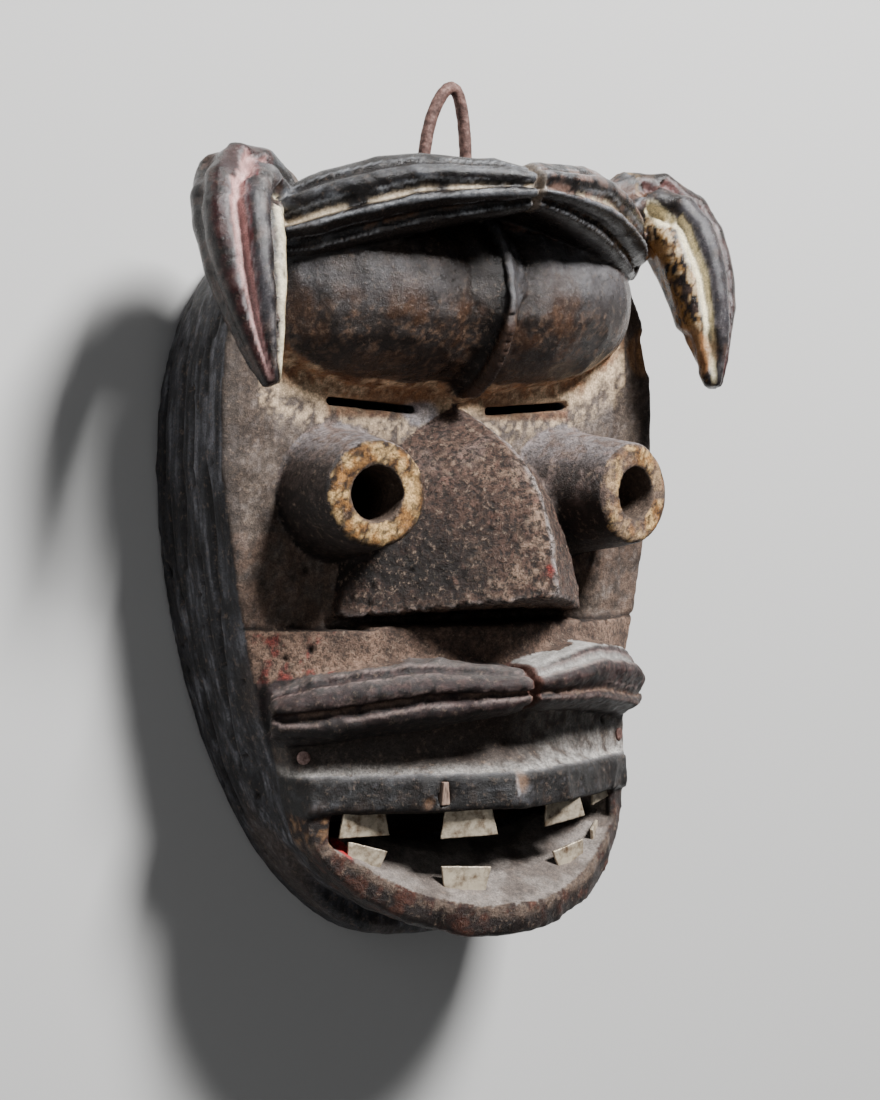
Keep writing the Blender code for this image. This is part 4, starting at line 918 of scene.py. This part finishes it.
streak = combined("MULTIPLY_ADD", combined("SUBTRACT", grain, 0.5), grain_mark.outputs["Fac"], 0.5)
streak_shade = remapped(add, link, streak, 0.3, 0.7, 0.55, 1.5)
grit_shade = remapped(add, link, grit, 0.3, 0.7, 0.5, 1.5)
smudge_shade = remapped(add, link, smudge, 0.3, 0.7, 0.66, 1.34)
shade = combined("MULTIPLY", combined("MULTIPLY", streak_shade, grit_shade), smudge_shade)
tint = add("ShaderNodeVectorMath", operation="SCALE")
link(patina.outputs["Color"], tint.inputs[0])
link(shade, tint.inputs["Scale"])
dark_scab = combined("MULTIPLY", remapped(add, link, scab, 0.47, 0.56, 0.0, 0.9), crust_mark.outputs["Fac"])
pale_clay = combined("MULTIPLY", remapped(add, link, clay, 0.55, 0.64, 0.0, 0.8), crust_mark.outputs["Fac"])
surface = stained(stained(tint.outputs["Vector"], SCAB_BROWN, dark_scab), CLAY_PALE, pale_clay)
link(surface, shader.inputs["Base Color"])
rough_base = remapped(add, link, gloss_mark.outputs["Fac"], 0.0, 0.8, 0.92, 0.20)
rough_add = add("ShaderNodeMath", operation="ADD", use_clamp=True)
link(rough_base, rough_add.inputs[0])
link(remapped(add, link, smudge, 0.3, 0.7, -0.10, 0.14), rough_add.inputs[1])
link(rough_add.outputs[0], shader.inputs["Roughness"])
shader.inputs["Specular IOR Level"].default_value = 0.36
rough_grit = combined("MULTIPLY", grit, combined("MULTIPLY_ADD", crust_mark.outputs["Fac"], 0.6, 0.12))
raised_crust = combined("MULTIPLY", combined("SUBTRACT", clay, scab), crust_mark.outputs["Fac"])
fine_relief = combined("MULTIPLY_ADD", rough_grit, 1.0, combined("MULTIPLY", streak, 1.1))
bumped(add, link, shader, combined("MULTIPLY_ADD", raised_crust, 3.2, fine_relief), 0.85, 0.00055)
carving.data.materials.append(wood)
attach(carving, "root")
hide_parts("mask_body")


# The hanging loop: a rod of iron bent into a staple and let into the top of the head behind the
# headband, pitted all over and brown with rust.
loop = solid_copy("iron_loop", "hanging_loop")
applied(loop, "REMESH", mode="VOXEL", voxel_size=0.0005)
applied(loop, "SMOOTH", factor=0.5, iterations=4)
rod, rod_normals, _ = read_mesh(loop.data)
pits = 0.28 * (layered(rod, (2.2, 2.6, 2.2), 201) - 0.5) + 0.14 * (mottle(rod, (0.9, 0.9, 0.9), 205) - 0.5)
rod += rod_normals * pits[:, None]
write_points(loop.data, rod)


def blended(add, link, source, *stops):
    """A colour that runs through stops, each a value and a colour, as a source rises."""
    blend = add("ShaderNodeValToRGB")
    elements = blend.color_ramp.elements
    elements.remove(elements[1])
    elements[0].position = stops[0][0]
    elements[0].color = (*stops[0][1], 1.0)
    for place, shade in stops[1:]:
        elements.new(place).color = (*shade, 1.0)
    link(source, blend.inputs["Fac"])
    return blend.outputs["Color"]


DEEP_RUST = (0.040, 0.020, 0.016)
BROWN_RUST = (0.115, 0.058, 0.047)
PALE_RUST = (0.24, 0.135, 0.112)
rust, shader, add, link = new_material("rusted_iron")
coordinates = add("ShaderNodeTexCoord").outputs["Object"]
flakes = noise_of(add, link, coordinates, 420.0, 6.0, 0.7)
dust = noise_of(add, link, coordinates, 1300.0, 4.0, 0.6)
rust_shade = blended(add, link, flakes, (0.34, DEEP_RUST), (0.5, BROWN_RUST), (0.66, PALE_RUST))
link(rust_shade, shader.inputs["Base Color"])
shader.inputs["Metallic"].default_value = 0.15
link(remapped(add, link, flakes, 0.3, 0.7, 0.88, 0.62), shader.inputs["Roughness"])
bumped(add, link, shader, dust, 0.7, 0.0003)
loop.data.materials.append(rust)
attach(loop, "root")
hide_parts("iron_loop")


# The teeth: eight snips of soft metal sheet, cut by hand and pushed into slots in the jaws, a little
# bent, dulled and stained brown in places.
STAIN_BROWN = (0.15, 0.095, 0.055)
SHEET_GREY = (0.62, 0.53, 0.40)
metal, shader, add, link = new_material("dull_aluminium_sheet")
coordinates = add("ShaderNodeTexCoord").outputs["Object"]
strokes = noise_of(add, link, coordinates, 1400.0, 4.0, 0.6, (1.0, 0.14, 0.4))
stains = noise_of(add, link, coordinates, 260.0, 5.0, 0.65)
sheet_shade = blended(add, link, stains, (0.30, STAIN_BROWN), (0.58, SHEET_GREY))
link(sheet_shade, shader.inputs["Base Color"])
shader.inputs["Metallic"].default_value = 0.55
link(remapped(add, link, strokes, 0.3, 0.7, 0.34, 0.58), shader.inputs["Roughness"])
bumped(add, link, shader, strokes, 0.4, 0.00012)


def facing(sheet):
    """The direction square to a flat sheet, from its points."""
    return np.linalg.svd(sheet - sheet.mean(0), full_matrices=False)[2][2]


tooth_names = [f"tooth_{row}_{n}" for row in ("upper", "lower") for n in (1, 2, 3, 4)]
for number, name in enumerate(tooth_names):
    tooth = solid_copy(name, f"{name}_sheet")
    applied(tooth, "REMESH", mode="VOXEL", voxel_size=0.00028)
    applied(tooth, "SMOOTH", factor=0.5, iterations=2)
    sheet, sheet_normals, _ = read_mesh(tooth.data)
    warp = 0.5 * (layered(sheet, (5.0, 5.0, 5.0), 301 + 7 * number) - 0.5)
    ragged_cut = 0.22 * (mottle(sheet, (1.5, 1.5, 1.5), 351 + number) - 0.5)
    flat = np.abs((sheet_normals * facing(sheet)).sum(1))
    sheet += sheet_normals * np.where(flat > 0.8, 0.0, ragged_cut)[:, None]
    sheet += facing(sheet) * warp[:, None]
    write_points(tooth.data, sheet)
    tooth.data.materials.append(metal)
    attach(tooth, "root")
    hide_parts(name)


# Two small iron nails with domed heads, driven into the face on each side of the mouth. The left
# one's head is rubbed pinkish and the right one's is rusted like the loop.
NAIL_BROWN = (0.16, 0.09, 0.075)
NAIL_PINK = (0.42, 0.28, 0.25)
nail_rust, shader, add, link = new_material("rubbed_iron")
coordinates = add("ShaderNodeTexCoord").outputs["Object"]
flakes = noise_of(add, link, coordinates, 900.0, 4.0, 0.6)
nail_shade = blended(add, link, flakes, (0.35, NAIL_BROWN), (0.6, NAIL_PINK))
link(nail_shade, shader.inputs["Base Color"])
shader.inputs["Metallic"].default_value = 0.3
shader.inputs["Roughness"].default_value = 0.6
bumped(add, link, shader, flakes, 0.5, 0.0002)
for side in ("left", "right"):
    nail = solid_copy(f"nail_{side}", f"nail_{side}_head")
    applied(nail, "BEVEL", width=0.0002, segments=2, limit_method="ANGLE", angle_limit=math.radians(35))
    applied(nail, "SUBSURF", levels=1, render_levels=1)
    bpy.ops.object.shade_smooth()
    nail.data.materials.append(nail_rust if side == "left" else rust)
    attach(nail, "root")
    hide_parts(f"nail_{side}")


# The wedge: a slip of bare wood, split along its grain with ragged faces and driven into a crack in
# the upper lip.
SLIP_DARK = (0.075, 0.045, 0.033)
SLIP_PALE = (0.34, 0.235, 0.18)
split_wood, shader, add, link = new_material("split_bare_wood")
coordinates = add("ShaderNodeTexCoord").outputs["Object"]
fibres = noise_of(add, link, coordinates, 1700.0, 5.0, 0.65, (1.0, 0.12, 1.0))
slip_shade = blended(add, link, fibres, (0.34, SLIP_DARK), (0.64, SLIP_PALE))
link(slip_shade, shader.inputs["Base Color"])
shader.inputs["Roughness"].default_value = 0.8
bumped(add, link, shader, fibres, 0.7, 0.0003)
wedge = solid_copy("lip_wedge", "lip_wedge_slip")
applied(wedge, "REMESH", mode="VOXEL", voxel_size=0.0003)
applied(wedge, "SMOOTH", factor=0.5, iterations=2)
slip, slip_normals, _ = read_mesh(wedge.data)
slip += slip_normals * (0.35 * (layered(slip, (0.9, 5.0, 0.9), 401) - 0.55))[:, None]
write_points(wedge.data, slip)
wedge.data.materials.append(split_wood)
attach(wedge, "root")
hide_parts("lip_wedge")


# The pale matt floor that the mask lies on, and the soft studio light, which comes mostly from over
# the crown, with two faint fills from the left and the front.
bpy.ops.object.select_all(action="DESELECT")
bpy.ops.mesh.primitive_plane_add(size=6.0, location=(0, 0, -0.0004))
floor = bpy.context.active_object
floor.name = "floor"
paper, shader, add, link = new_material("pale_floor")
shader.inputs["Base Color"].default_value = (0.56, 0.555, 0.545, 1)
shader.inputs["Roughness"].default_value = 0.9
floor.data.materials.append(paper)


def soft_light(name, place, aim, size, power, shade=(1.0, 1.0, 1.0)):
    """A square soft light at a place that points at another."""
    lamp = bpy.data.lights.new(name, "AREA")
    lamp.size = size
    lamp.energy = power
    lamp.color = shade
    light = bpy.data.objects.new(name, lamp)
    bpy.context.scene.collection.objects.link(light)
    light.location = place
    light.rotation_euler = (Vector(aim) - Vector(place)).to_track_quat("-Z", "Y").to_euler()
    return light


soft_light("crown_light", (0.38, 1.22, 1.18), (0.0, 0.02, 0.06), 0.42, 92.0)
soft_light("left_fill", (-1.3, 0.3, 0.8), (0.0, 0.0, 0.05), 0.9, 2.6, (0.93, 0.96, 1.0))
soft_light("front_fill", (-0.35, -0.75, 1.35), (0.0, -0.05, 0.05), 0.7, 1.7)
world = bpy.data.worlds.new("studio")
world.use_nodes = True
world.node_tree.nodes["Background"].inputs["Color"].default_value = (0.92, 0.95, 1.0, 1)
world.node_tree.nodes["Background"].inputs["Strength"].default_value = 0.04
bpy.context.scene.world = world
